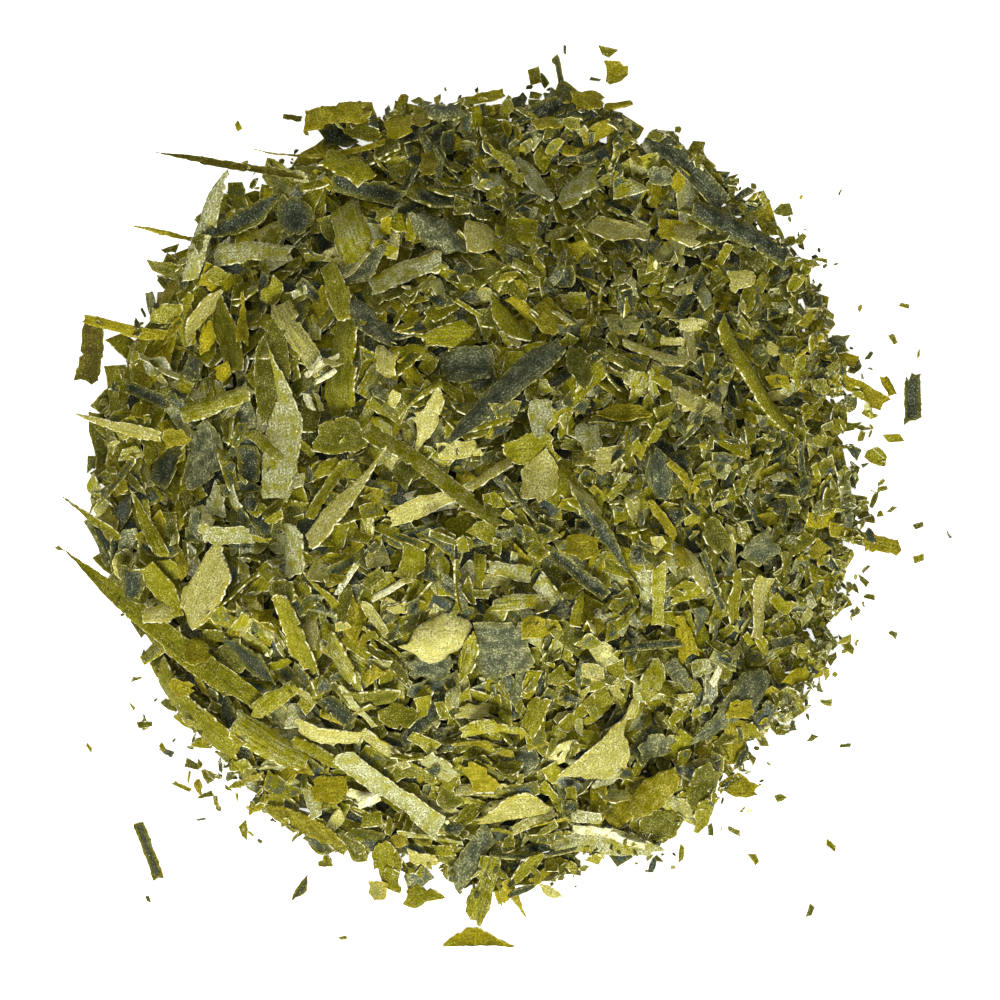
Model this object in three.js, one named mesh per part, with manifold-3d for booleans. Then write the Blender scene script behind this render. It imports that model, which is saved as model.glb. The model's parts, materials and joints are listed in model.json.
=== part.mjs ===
// A heap of dried kelp flakes as it lies on a bare surface. The heap is one solid: a mound with an
// uneven foot and the flakes that show fused on. The larger flakes that lie apart are solids of their own.
import * as THREE from 'three';
import { mergeVertices } from 'three/addons/utils/BufferGeometryUtils.js';
import Module from 'manifold-3d';

const wasm = await Module();
wasm.setup();

// Driving dimensions, in millimetres. Flake places are measured from the heap's own centre.
const HEAP_CENTRE = [-0.84, 1.59];
const FOOT_RADIUS = 38.2;
const HEAP_HEIGHT = 16.6;
const DOME_POWER = 2; // 2 is a round dome, more is flatter on top and steeper at the foot
const CORE_INSET = 0.1;
const CORE_DETAIL = 6;
const CORE_BUMP = 1.9;
const DOME_SHARE = 0.78; // share of the ball, from the top down, that becomes the dome
const FLAKE_THICKNESS = 0.45;
const FLAKE_SINK = 0.2;
const ROOT_SINK = 0.6;
const FLAKE_ROLL = 0.3; // rise for each millimetre across
const STEEPEST_SIDE = 0.8;
const RAGGED = 0.22; // share of the half width
const WAVE = 0.3;
const STRAY_WAVE = 0.06; // share of the flake's length

// The foot swells and draws in as it goes round: number of swells, their size, the angle of the first.
const FOOT_SWELLS = [
  [2, 0.75, 1.42],
  [3, 0.6, 0.98],
  [5, 0.25, 0.6],
];

// Share of a flake's half width at even steps along its length.
const STRIP = [0.85, 1, 0.95, 0.8];
const LEAF = [0.2, 0.95, 0.9, 0.15];
const SPIKE = [0.08, 0.5, 1, 0.7];
const CHIP = [0.7, 1, 0.6];

// The flakes that stand out: form, the two ends seen from above and width. A flake that reaches out over
// the foot also has the height of its free end, and of its other end where that isn't sunk in the mound.
const NOTABLE_FLAKES = [
  // long blades round the lower left
  [SPIKE, -42.7, -5.6, -23.7, -21.7, 2.8, 1.6],
  [STRIP, -32.7, -18.5, -24.5, -26.7, 2.0],
  [STRIP, -24.8, -23.5, -17.5, -27.6, 2.4],
  [STRIP, -18.3, -23.8, -12.2, -25.5, 1.6],
  [STRIP, -18.9, -25.6, -12.7, -28.4, 1.6],
  [STRIP, -13.6, -26.7, -3.9, -34.1, 2.2],
  [LEAF, -26.6, -6.2, -30.4, -12.6, 4.2],
  [STRIP, -33.4, -7.6, -30.2, -12.6, 2.0],
  [SPIKE, -34.9, -0.5, -31.6, -7.0, 1.5],
  [LEAF, -25.1, -15.2, -20.4, -19.3, 1.8],
  [STRIP, -22.5, -22.6, -18.5, -19.6, 1.8],
  [LEAF, -21.3, -31.6, -13.9, -35.0, 2.2],
  [STRIP, -14.9, -28.5, -14.9, -31.9, 3.2],
  // leaves and strips of the lower middle
  [LEAF, -7.4, -15.8, -1.0, -14.6, 4.2],
  [STRIP, 2.2, -13.3, 2.2, -18.8, 5.2],
  [LEAF, 9.6, -29.4, 14.8, -23.5, 4.0],
  [LEAF, -0.2, -33.5, 7.4, -32.0, 2.5],
  [LEAF, 18.6, -36.2, 6.0, -35.6, 2.4, 1.2],
  [LEAF, 15.1, -32.6, 19.2, -28.2, 2.5],
  [STRIP, -2.7, -39.7, 1.1, -34.4, 2.8, 1.9],
  [STRIP, -0.4, -43.5, 1.4, -37.0, 2.6, 0.7],
  [SPIKE, 4.3, -43.2, 1.6, -37.0, 1.0, 0.4],
  [STRIP, -19.5, -10.8, -16.6, -18.5, 1.6],
  // the lower right
  [STRIP, 21.6, -25.8, 29.0, -18.8, 3.2],
  [STRIP, 22.0, -27.6, 22.5, -32.0, 3.0],
  [LEAF, 27.8, -29.3, 22.0, -30.0, 2.6, 0.6],
  [STRIP, 9.2, -0.5, 16.1, -10.2, 2.6],
  [STRIP, 17.8, -7.6, 17.7, -13.7, 1.5],
  [STRIP, 28.4, -9.0, 27.6, -15.2, 1.4],
  [STRIP, 7.1, -6.4, 12.5, -10.8, 1.6],
  [LEAF, 26.3, -6.2, 29.8, -6.2, 2.8],
  [LEAF, 34.9, -18.1, 30.6, -19.3, 1.6, 0.6],
  [STRIP, 41.6, -6.3, 34.6, -4.2, 1.6, 0.5],
  [STRIP, 35.9, 1.7, 36.4, -4.3, 1.2],
  // the middle
  [STRIP, -3.0, 4.7, 8.0, 14.2, 2.6],
  [STRIP, -11.1, 5.8, 2.0, -3.8, 1.7],
  [SPIKE, -9.2, 3.5, -16.9, -5.6, 2.0],
  [STRIP, -8.9, -2.4, -1.2, -0.9, 1.6],
  [LEAF, 2.4, 3.7, 7.4, 4.2, 3.8],
  [LEAF, 6.5, 3.4, 5.5, -1.6, 3.5],
  [STRIP, -3.9, 11.7, 1.3, 12.2, 3.2],
  [LEAF, -6.2, 15.0, -0.5, 15.4, 2.8],
  [LEAF, 16.5, 3.5, 18.5, -1.3, 2.8],
  // the upper left, with its spikes over the foot
  [SPIKE, -20.7, 14.1, -19.2, -1.5, 4.0],
  [LEAF, -19.5, 16.9, -21.8, 6.7, 3.8],
  [STRIP, -20.4, 18.2, -16.0, 11.5, 2.4],
  [STRIP, -13.0, 16.7, -14.0, 7.2, 2.8],
  [STRIP, -27.2, 6.7, -28.3, -0.3, 3.6],
  [STRIP, -29.4, 7.6, -22.8, 9.7, 2.2],
  [STRIP, -26.3, 17.9, -24.0, 11.5, 2.0],
  [SPIKE, -25.6, 31.9, -29.4, 20.9, 2.6, 2.6],
  [LEAF, -27.5, 24.7, -20.4, 29.1, 2.0],
  [LEAF, -26.6, 23.5, -19.2, 23.7, 1.9],
  [STRIP, -14.2, 20.0, -9.2, 22.9, 1.8],
  [STRIP, -11.0, 19.7, -3.9, 22.7, 2.0],
  [STRIP, -6.8, 27.4, -1.5, 23.2, 3.6],
  [STRIP, -13.8, 28.5, -11.8, 22.5, 3.2],
  [STRIP, -17.7, 36.2, -10.4, 36.5, 3.6, 0.8, 1.0],
  [SPIKE, -22.8, 34.1, -9.5, 34.7, 0.9, 2.5],
  [SPIKE, -32.4, 33.3, -17.5, 30.6, 0.9, 4.5],
  [SPIKE, -34.6, 26.3, -26.4, 24.2, 0.8, 1.6],
  [STRIP, -39.6, 16.6, -31.6, 15.0, 0.9, 3.4],
  [STRIP, -38.9, 16.6, -39.6, 10.7, 2.0, 3.6, 0.5],
  [SPIKE, -40.6, 7.2, -31.9, 5.0, 1.2, 1.8],
  [SPIKE, -41.9, -1.1, -36.0, -5.2, 0.9, 1.2],
  // the upper right
  [STRIP, 17.2, 35.6, 24.5, 28.2, 2.6],
  [STRIP, 21.3, 28.0, 31.0, 22.9, 2.5],
  [LEAF, 11.0, 26.6, 16.9, 24.9, 2.2],
  [LEAF, 7.7, 28.5, 11.9, 31.6, 2.4],
  [STRIP, 24.0, 16.7, 30.7, 6.1, 1.4],
  [STRIP, 40.6, 8.4, 34.0, 11.9, 1.4, 1.6],
  [STRIP, 15.3, 38.6, 10.4, 36.0, 0.9, 1.0],
];

// Smaller flakes spread evenly over the rest of the mound.
const SPREAD_COUNT = 74;
const SPREAD_LENGTH = [4.0, 7.6];
const SPREAD_WIDTH = [2.0, 3.8];
const SPREAD_INSET = 2.6;
const SPREAD_SEED = 41;
const GOLDEN_ANGLE = Math.PI * (3 - Math.sqrt(5));

// The flakes that lie apart on the surface: form, the two ends, width and colour.
const STRAY_FLAKES = {
  stray_dark_flake: [STRIP, 43.4, 11.2, 43.3, 6.7, 1.9, 0x353922],
  stray_olive_strip: [STRIP, 40.5, 11.2, 41.5, 9.3, 0.9, 0x7d7420],
  stray_boat_leaf: [LEAF, -3.9, -45.4, 3.5, -45.9, 2.0, 0x7c7424],
  stray_dark_strip: [STRIP, -34.3, -33.8, -32.3, -39.4, 1.1, 0x3c3a12],
  stray_top_chip: [LEAF, 12.7, 41.9, 14.8, 41.7, 1.9, 0x857707],
  stray_top_strip: [STRIP, 7.6, 43.3, 8.2, 40.4, 0.7, 0x45430f],
  stray_left_strip: [STRIP, -30.9, -29.7, -29.1, -30.5, 0.6, 0x6a6420],
  stray_left_chip: [LEAF, -28.3, -29.3, -28.1, -31.0, 1.0, 0x7a711c],
  stray_yellow_chip: [STRIP, -11.3, -40.5, -9.4, -40.6, 2.0, 0x9b9030],
  stray_drop_chip: [LEAF, -17.2, -39.3, -18.7, -41.6, 1.1, 0x4d4a1e],
  stray_tailed_chip: [SPIKE, -3.4, -41.3, -7.4, -40.9, 2.3, 0x908846],
  stray_pale_chip: [LEAF, 5.9, -39.9, 8.3, -41.3, 1.2, 0xb9b268],
  stray_right_chip: [STRIP, 38.9, 3.6, 40.8, 2.6, 1.2, 0x7f7a36],
};
const STRAY_SEED = 90;

function seededDraws(seed) {
  THREE.MathUtils.seededRandom(seed);
  return (low, high) => low + (high - low) * THREE.MathUtils.seededRandom();
}

function footRadius(angle) {
  const swell = (radius, [count, size, first]) => radius + size * Math.cos(count * (angle - first));
  return FOOT_SWELLS.reduce(swell, FOOT_RADIUS);
}

// Height of the mound's skin over a place on the surface.
function moundHeight(x, y) {
  const reach = Math.hypot(x, y) / footRadius(Math.atan2(y, x));
  return reach < 1 ? HEAP_HEIGHT * (1 - reach ** DOME_POWER) : 0;
}

function bareGeometry(geometry) {
  geometry.deleteAttribute('normal');
  geometry.deleteAttribute('uv');
  return mergeVertices(geometry);
}

function solidFrom(geometry) {
  const bare = bareGeometry(geometry);
  const mesh = new wasm.Mesh({
    numProp: 3,
    vertProperties: bare.attributes.position.array,
    triVerts: new Uint32Array(bare.index.array),
  });
  return new wasm.Manifold(mesh);
}

// A faceted mound under the flakes: the upper part of a ball drawn out to the foot, the rest its flat base.
function coreSolid(draw) {
  const basePolar = DOME_SHARE * Math.PI;
  const ball = bareGeometry(new THREE.IcosahedronGeometry(1, CORE_DETAIL));
  const points = ball.attributes.position;
  const point = new THREE.Vector3();
  for (let i = 0; i < points.count; i += 1) {
    point.fromBufferAttribute(points, i);
    const polar = Math.acos(THREE.MathUtils.clamp(point.z, -1, 1));
    const angle = Math.atan2(point.y, point.x);
    const foot = footRadius(angle) - CORE_INSET;
    const onDome = polar < basePolar;
    const reach = onDome
      ? Math.sin((polar / basePolar) * Math.PI / 2)
      : (Math.PI - polar) / (Math.PI - basePolar);
    const bump = onDome ? draw(-CORE_BUMP / 2, CORE_BUMP / 2) : 0;
    const skin = (HEAP_HEIGHT - CORE_INSET) * (1 - reach ** DOME_POWER);
    const radius = foot * reach + bump * reach;
    const height = onDome ? Math.max(skin + bump * (1 - reach), 0) : 0;
    points.setXYZ(i, radius * Math.cos(angle), radius * Math.sin(angle), height);
  }
  return solidFrom(ball);
}

// One flake lying flat along X: a ragged outline given its thickness, then waved and twisted.
function flakeGeometry(form, length, width, wave, draw) {
  const step = length / (form.length - 1);
  const near = [];
  const far = [];
  form.forEach((share, i) => {
    const place = i * step - length / 2;
    const half = (share * width) / 2;
    const ragged = () => draw(-RAGGED, RAGGED);
    near.push(new THREE.Vector2(place + ragged() * half, -half * (1 + ragged())));
    far.unshift(new THREE.Vector2(place + ragged() * half, half * (1 + ragged())));
  });
  const outline = new THREE.Shape([...near, ...far]);
  const flake = new THREE.ExtrudeGeometry(outline, { depth: FLAKE_THICKNESS, bevelEnabled: false });
  const turn = draw(0, 2 * Math.PI);
  const twist = draw(-1, 1) * wave;
  const points = flake.attributes.position;
  for (let i = 0; i < points.count; i += 1) {
    const along = (2 * points.getX(i)) / length;
    const across = (2 * points.getY(i)) / width;
    const rise = wave * Math.sin(2 * along + turn) + twist * along * across;
    points.setZ(i, points.getZ(i) - FLAKE_THICKNESS / 2 + rise);
  }
  return flake;
}

// A flake laid on the mound, nowhere below the floor: its middle touches the skin, unless an end is free.
function laidFlake([form, x1, y1, x2, y2, width, z1, z2], draw) {
  const free = z1 !== undefined;
  const start = new THREE.Vector3(x1, y1, z1 ?? moundHeight(x1, y1));
  const end = new THREE.Vector3(x2, y2, z2 ?? moundHeight(x2, y2) - (free ? ROOT_SINK : 0));
  const middle = start.clone().add(end).multiplyScalar(0.5);
  if (!free) middle.z = moundHeight(middle.x, middle.y) - FLAKE_SINK;
  const along = end.clone().sub(start);
  const length = along.length();
  along.normalize();
  const across = new THREE.Vector3(-along.y, along.x, 0).normalize();
  const uphill = moundHeight(middle.x + across.x, middle.y + across.y);
  const downhill = moundHeight(middle.x - across.x, middle.y - across.y);
  const side = THREE.MathUtils.clamp((uphill - downhill) / 2, -STEEPEST_SIDE, STEEPEST_SIDE);
  across.z = (free ? 0 : side) + draw(-FLAKE_ROLL, FLAKE_ROLL);
  const normal = along.clone().cross(across).normalize();
  across.copy(normal).cross(along);
  const flake = flakeGeometry(form, length, width, WAVE, draw);
  flake.applyMatrix4(new THREE.Matrix4().makeBasis(along, across, normal).setPosition(middle));
  flake.computeBoundingBox();
  flake.translate(0, 0, Math.max(-flake.boundingBox.min.z, 0));
  return solidFrom(flake);
}

// An even spiral of places, each with a flake of its own size, form and heading.
function spreadFlakes(draw) {
  return Array.from({ length: SPREAD_COUNT }, (_, i) => {
    const angle = i * GOLDEN_ANGLE;
    const reach = Math.sqrt((i + 0.5) / SPREAD_COUNT) * (footRadius(angle) - SPREAD_INSET);
    const x = reach * Math.cos(angle);
    const y = reach * Math.sin(angle);
    const heading = draw(0, 2 * Math.PI);
    const dx = (Math.cos(heading) * draw(...SPREAD_LENGTH)) / 2;
    const dy = dx * Math.tan(heading);
    return [CHIP, x - dx, y - dy, x + dx, y + dy, draw(...SPREAD_WIDTH)];
  });
}

// The mound and its flakes as one body: scraps that touch nothing and sealed hollows are dropped.
function heapGeometry() {
  const draw = seededDraws(SPREAD_SEED);
  const core = coreSolid(draw);
  const flakes = [...NOTABLE_FLAKES, ...spreadFlakes(draw)].map((flake) => laidFlake(flake, draw));
  const bodies = wasm.Manifold.union([core, ...flakes]).decompose();
  const heap = bodies.reduce((most, body) => (body.volume() > most.volume() ? body : most));
  const mesh = heap.getMesh();
  const geometry = new THREE.BufferGeometry();
  geometry.setAttribute('position', new THREE.BufferAttribute(mesh.vertProperties, mesh.numProp));
  geometry.setIndex(new THREE.BufferAttribute(mesh.triVerts, 1));
  geometry.computeVertexNormals();
  return geometry;
}

function strayMesh(name, [form, x1, y1, x2, y2, width, colour], draw) {
  const length = Math.hypot(x2 - x1, y2 - y1);
  const flake = flakeGeometry(form, length, width, STRAY_WAVE * length, draw);
  flake.computeBoundingBox();
  flake.translate(0, 0, -flake.boundingBox.min.z);
  const mesh = new THREE.Mesh(flake, driedKelp(colour));
  mesh.name = name;
  mesh.position.set((x1 + x2) / 2, (y1 + y2) / 2, 0);
  mesh.rotation.z = Math.atan2(y2 - y1, x2 - x1);
  return mesh;
}

function driedKelp(colour) {
  return new THREE.MeshStandardMaterial({ color: colour, roughness: 0.75, metalness: 0 });
}

const kelp = new THREE.Group();
kelp.position.set(HEAP_CENTRE[0], HEAP_CENTRE[1], 0);
const heap = new THREE.Mesh(heapGeometry(), driedKelp(0x716f34));
heap.name = 'kelp_heap';
kelp.add(heap);
const strayDraw = seededDraws(STRAY_SEED);
Object.entries(STRAY_FLAKES).forEach(([name, flake]) => kelp.add(strayMesh(name, flake, strayDraw)));

export default kelp;
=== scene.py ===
import json
import math

import bpy
import numpy as np
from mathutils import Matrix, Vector

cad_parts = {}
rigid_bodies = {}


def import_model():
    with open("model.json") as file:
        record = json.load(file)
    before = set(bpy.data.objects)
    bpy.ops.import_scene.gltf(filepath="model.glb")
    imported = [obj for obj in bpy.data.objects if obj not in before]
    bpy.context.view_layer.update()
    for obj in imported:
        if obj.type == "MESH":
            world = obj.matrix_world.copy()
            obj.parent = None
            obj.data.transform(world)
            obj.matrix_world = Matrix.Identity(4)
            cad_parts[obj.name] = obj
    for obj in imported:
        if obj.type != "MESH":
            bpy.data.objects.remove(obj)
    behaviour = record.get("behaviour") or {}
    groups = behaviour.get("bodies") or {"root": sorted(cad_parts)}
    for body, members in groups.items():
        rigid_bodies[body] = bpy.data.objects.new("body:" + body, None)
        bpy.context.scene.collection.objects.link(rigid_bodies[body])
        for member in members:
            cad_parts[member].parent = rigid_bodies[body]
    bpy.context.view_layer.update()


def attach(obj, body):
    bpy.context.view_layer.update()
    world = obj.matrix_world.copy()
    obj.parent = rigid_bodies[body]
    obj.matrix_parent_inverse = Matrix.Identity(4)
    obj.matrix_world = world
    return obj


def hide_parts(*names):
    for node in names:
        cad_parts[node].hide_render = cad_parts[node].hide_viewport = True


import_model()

# Lengths are in millimetres from the heap's own centre, but in metres for the floor, the lights and the
# camera. Angles are in radians.
MM = 0.001

# The heap and the core under its flakes, dark as painted shade for the deep gaps between them. Each swell of
# the foot has a count, a size and a first angle.
HEAP_CENTRE = (-0.84, 1.59)
FOOT_RADIUS = 38.2
FOOT_SWELLS = ((2, 0.75, 1.42), (3, 0.6, 0.98), (5, 0.25, 0.6))
HEAP_HEIGHT = 17.6
CORE_DEPTH = 5.4
CORE_FOOT_INSET = 5.4
CORE_POWER = 2.4
CORE_DIPS = 0.4
CORE_RINGS = 40
CORE_SPOKES = 120
CORE_SEED = 5
CORE_SHADE_COLOUR = (41, 43, 26)
LIP_HEIGHT = 0.5
LIP_INSET = 2.3
EDGE_SLACK = 1e-6

# The field of heights that flakes are dropped on, and the gap between the points that feel for it.
CELL = 0.2
FIELD = 52.0
POINT_GAP = 0.24
LEAST_POINTS = 4

# The flakes get finer towards one side: how that way leans, where it starts and over what length.
FINE_LEAN = 0.35
FINE_OFFSET = 2
FINE_SPAN = 32

# Thickness of flakes, its shares for short and long ones, and the narrow band along the edge.
THICKNESS = (0.11, 0.22)
FULL_LENGTH = 3
LENGTH_SHARES = (0.6, 1.2)
RIM = 0.1
EDGE_THICKNESS = 0.6
SHARP_ANGLE = math.radians(40)

# Raggedness of the outline. Depths are shares of the width or the length, held to the most where it is given.
CORNER_SHIFT = 0.7
CORNER_SPREAD = (0.86, 1.14)
MEASURED_SPREAD = (0.95, 1.05)
TEARS_A_SIDE = 1.5
LEAST_TEAR_CHANCE = 0.05
TEAR_DEPTH = 0.08
TEAR_WIDTH_MOST = 2.4
FRAY = 0.03
FRAY_MOST = 0.035
SWAY = 0.04
SWAY_STEPS = 5
BITE_CHANCE = 0.02
BITE_DEPTH = (0.1, 0.4)
BITE_WIDTH_LEAST = 1.2
END_FRAY = 0.12
END_FRAY_MOST = 0.2
CORNER_CUT = 0.22
CUT_ROWS = 5
SLANT = 0.45
SLANT_LENGTH = 0.4
STILL_MIDDLE = 0.2
TIP_SWAY = 0.2

# Bends, as spreads. A bend is set against its mean, so that the middle of a flake stays level.
MEAN_SQUARE = 0.33
SIDE_BEND = 0.012
BEND = 0.035
RIPPLE = (0.01, 0.03)
RIPPLE_LENGTH_MOST = 6
RIPPLE_TURNS = (2, 5)
RIPPLE_START = (0, 6)
CURL = 0.1
STRONG_CURL = 2.4
STRONG_CURL_CHANCE = 0.15
TWIST = 0.12

# How a flake comes to rest.
STEEPEST = 1.3
BEND_MOST = 0.05
FREE_ROLL = 0.3
ROOT_LEVEL = 0.8
FLOOR_GAP = 0.01

# How much single flakes differ in look. Flakes that stand out or lie apart keep nearer to their own tone.
TONE_INSET = 0.25
OWN_SHADE = (0.92, 1.06)
ANY_SHADE = (0.82, 1.12)
OWN_BLOOM = (0.6, 1.2)
ANY_BLOOM = (0.1, 1.9)
RIB_SPREAD = (0.5, 1.3)
PATCH_CHANCE = 0.35
PATCH_SHARE = (0.3, 1.0)
GRAIN_SHIFT = 90

# Share of a flake's half width at even steps along its length.
STRIP = (0.9, 1.0, 0.97, 1.0, 0.95, 0.86)
LEAF = (0.3, 0.76, 1.0, 0.96, 0.74, 0.28)
SPIKE = (0.06, 0.3, 0.55, 0.85, 1.0, 0.72)
CHIP = (0.74, 1.0, 0.98, 0.7)
WEDGE = (0.55, 0.72, 0.88, 1.0)

# Single flakes with a shape of their own: the same shares on the right of the way from the first end to the
# second, then on its left.
NOTCHED_LEAF = ((0.58, 0.6, 0.6, 0.58, 0.62, 0.7, 0.62), (0.35, 1.5, 1.35, 1.36, 1.2, 0.93, 0.5))
LONG_BLADE = ((0.1, 0.55, 0.88, 1, 1, 0.95, 0.8), (0.1, 0.6, 0.9, 1, 1, 0.95, 0.8))
KITE_LEAF = ((0.06, 0.58, 1.11, 1.22, 1.06, 0.81, 0.36), (0, 0.58, 0.69, 0.72, 0.94, 0.67, 0.28))
BROAD_BLADE = ((0, 0, 0.07, 0.79, 0.93, 1, 1.14), (0.14, 0.5, 0.86, 1.21, 1.07, 0.86, 0.14))
BLUNT_LEAF = ((0.32, 1.16, 1.23, 1.19, 0.95, 0.49, 0.14), (0.6, 0.74, 0.77, 0.67, 0.56, 0.49, 0.07))
ARCHED_LEAF = ((0.13, 0.2, 0.2, 0.2, 0.2, 0.2, 0.07), (0.13, 1.07, 1.8, 1.73, 1.33, 0.67, 0.13))
CRESCENT_LEAF = ((0.34, 0.51, 0.51, 0.51, 0.51, 0.51, 0.51), (0.17, 0.46, 1.09, 1.43, 1.49, 0.91, -0.23))
SHIELD_LEAF = ((0.07, 0.44, 0.84, 0.95, 0.79, 0.74, 0.7), (0.07, 0.56, 0.91, 1.05, 1.12, 0.79, 0.35))
LONG_STRIP = ((0.22, 0.67, 0.78, 0.83, 0.83, 0.78, 0.44), (0.11, 0.67, 0.89, 1, 1.11, 1.22, 0.56))
SPINDLE = ((0.29, 0.57, 0.67, 0.67, 0.57, 0.48, 0.19), (0.29, 0.76, 1.33, 1.19, 0.76, 0.29, 0.1))
OVAL_LEAF = ((0.17, 0.57, 0.8, 1, 1, 0.77, 0.1), (0.1, 0.8, 1, 1, 0.97, 0.6, 0.07))
FIN_LEAF = ((0.73, 1.07, 1.71, 1.41, 0.93, 0.49, 0.1), (0.29, 0.49, 0.29, 0.44, 0.54, 0.49, 0))
BARK_CHIP = ((0.94, 1.14, 1.02, 0.94, 1.02, 0.98, 0.2), (0.12, 0.63, 0.82, 0.9, 0.98, 0.94, 0.08))
FAN_LEAF = ((0.1, 0.66, 0.75, 0.85, 1.08, 1.05, 0.75), (0.03, 0.3, 0.59, 0.75, 0.89, 0.95, 0.33))
BLUNT_SHIELD = ((0.07, 0.59, 0.79, 0.83, 0.83, 0.76, 0.21), (0.07, 1, 1.14, 1.17, 1.14, 0.86, 0.21))
PADDLE_STRIP = ((0.22, 0.49, 0.7, 0.81, 0.86, 0.86, 0.54), (0.22, 0.65, 0.81, 1.03, 1.14, 1.14, 0.43))
SPLIT_STRIP = ((0.6, 1, 1, 0.9, 0.7, 0.3, 0.2), (1, 1, 1, 0.5, 0.4, 0.5, 0.6))
SQUARE_CHIP = ((0.92, 0.98, 1, 0.98, 0.94, 0.9, 0.6), (0.9, 0.98, 1, 1, 1, 0.98, 0.94))

# Tones: material slot, range on that material's colour ramp, pale bloom, lengthwise ribs and how much the
# thin edge takes on the edge colour.
OLIVE = ("olive_kelp", (0.15, 0.65), 0.15, 0.5, 1.0)
DULL = ("olive_kelp", (0.0, 0.14), 0.2, 0.3, 0.6)
RIBBED = ("olive_kelp", (0.7, 0.85), 0.45, 1.4, 0.6)
FURROWED = ("olive_kelp", (0.25, 0.4), 0.35, 1.5, 0.4)
DUSTY = ("olive_kelp", (0.5, 0.65), 0.5, 0.4, 0.5)
GREY = ("olive_kelp", (0.86, 1.0), 1.1, 0.4, 0.4)
DARK = ("dark_kelp", (0.15, 0.45), 0.35, 0.4, 0.8)
SHALE = ("dark_kelp", (0.55, 0.65), 0.5, 0.7, 0.4)
SLATE = ("dark_kelp", (0.66, 0.85), 0.65, 0.5, 0.5)
PEATY = ("dark_kelp", (0.55, 0.7), 0.05, 0.3, 1.4)
UMBER = ("mustard_kelp", (-0.1, 0.1), 0.1, 0.3, 0.1)
MUSTARD = ("mustard_kelp", (0.28, 0.62), 0.25, 0.4, 1.0)
AMBER = ("mustard_kelp", (0.5, 0.65), 1.0, 0.4, 0.6)
YELLOW = ("mustard_kelp", (0.65, 0.9), 0.15, 0.3, 1.0)
STRAW = ("pale_kelp", (0.05, 0.15), 0.0, 0.3, 1.0)
PALE = ("pale_kelp", (0.0, 0.3), 0.45, 0.5, 0.9)
REEDY = ("pale_kelp", (-0.05, 0.05), 0.3, 2.4, 0.6)
CREAM = ("pale_kelp", (0.4, 0.65), 0.3, 0.4, 0.6)
WHITE = ("pale_kelp", (0.85, 1.0), 0.2, 0.5, 0.4)

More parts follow.
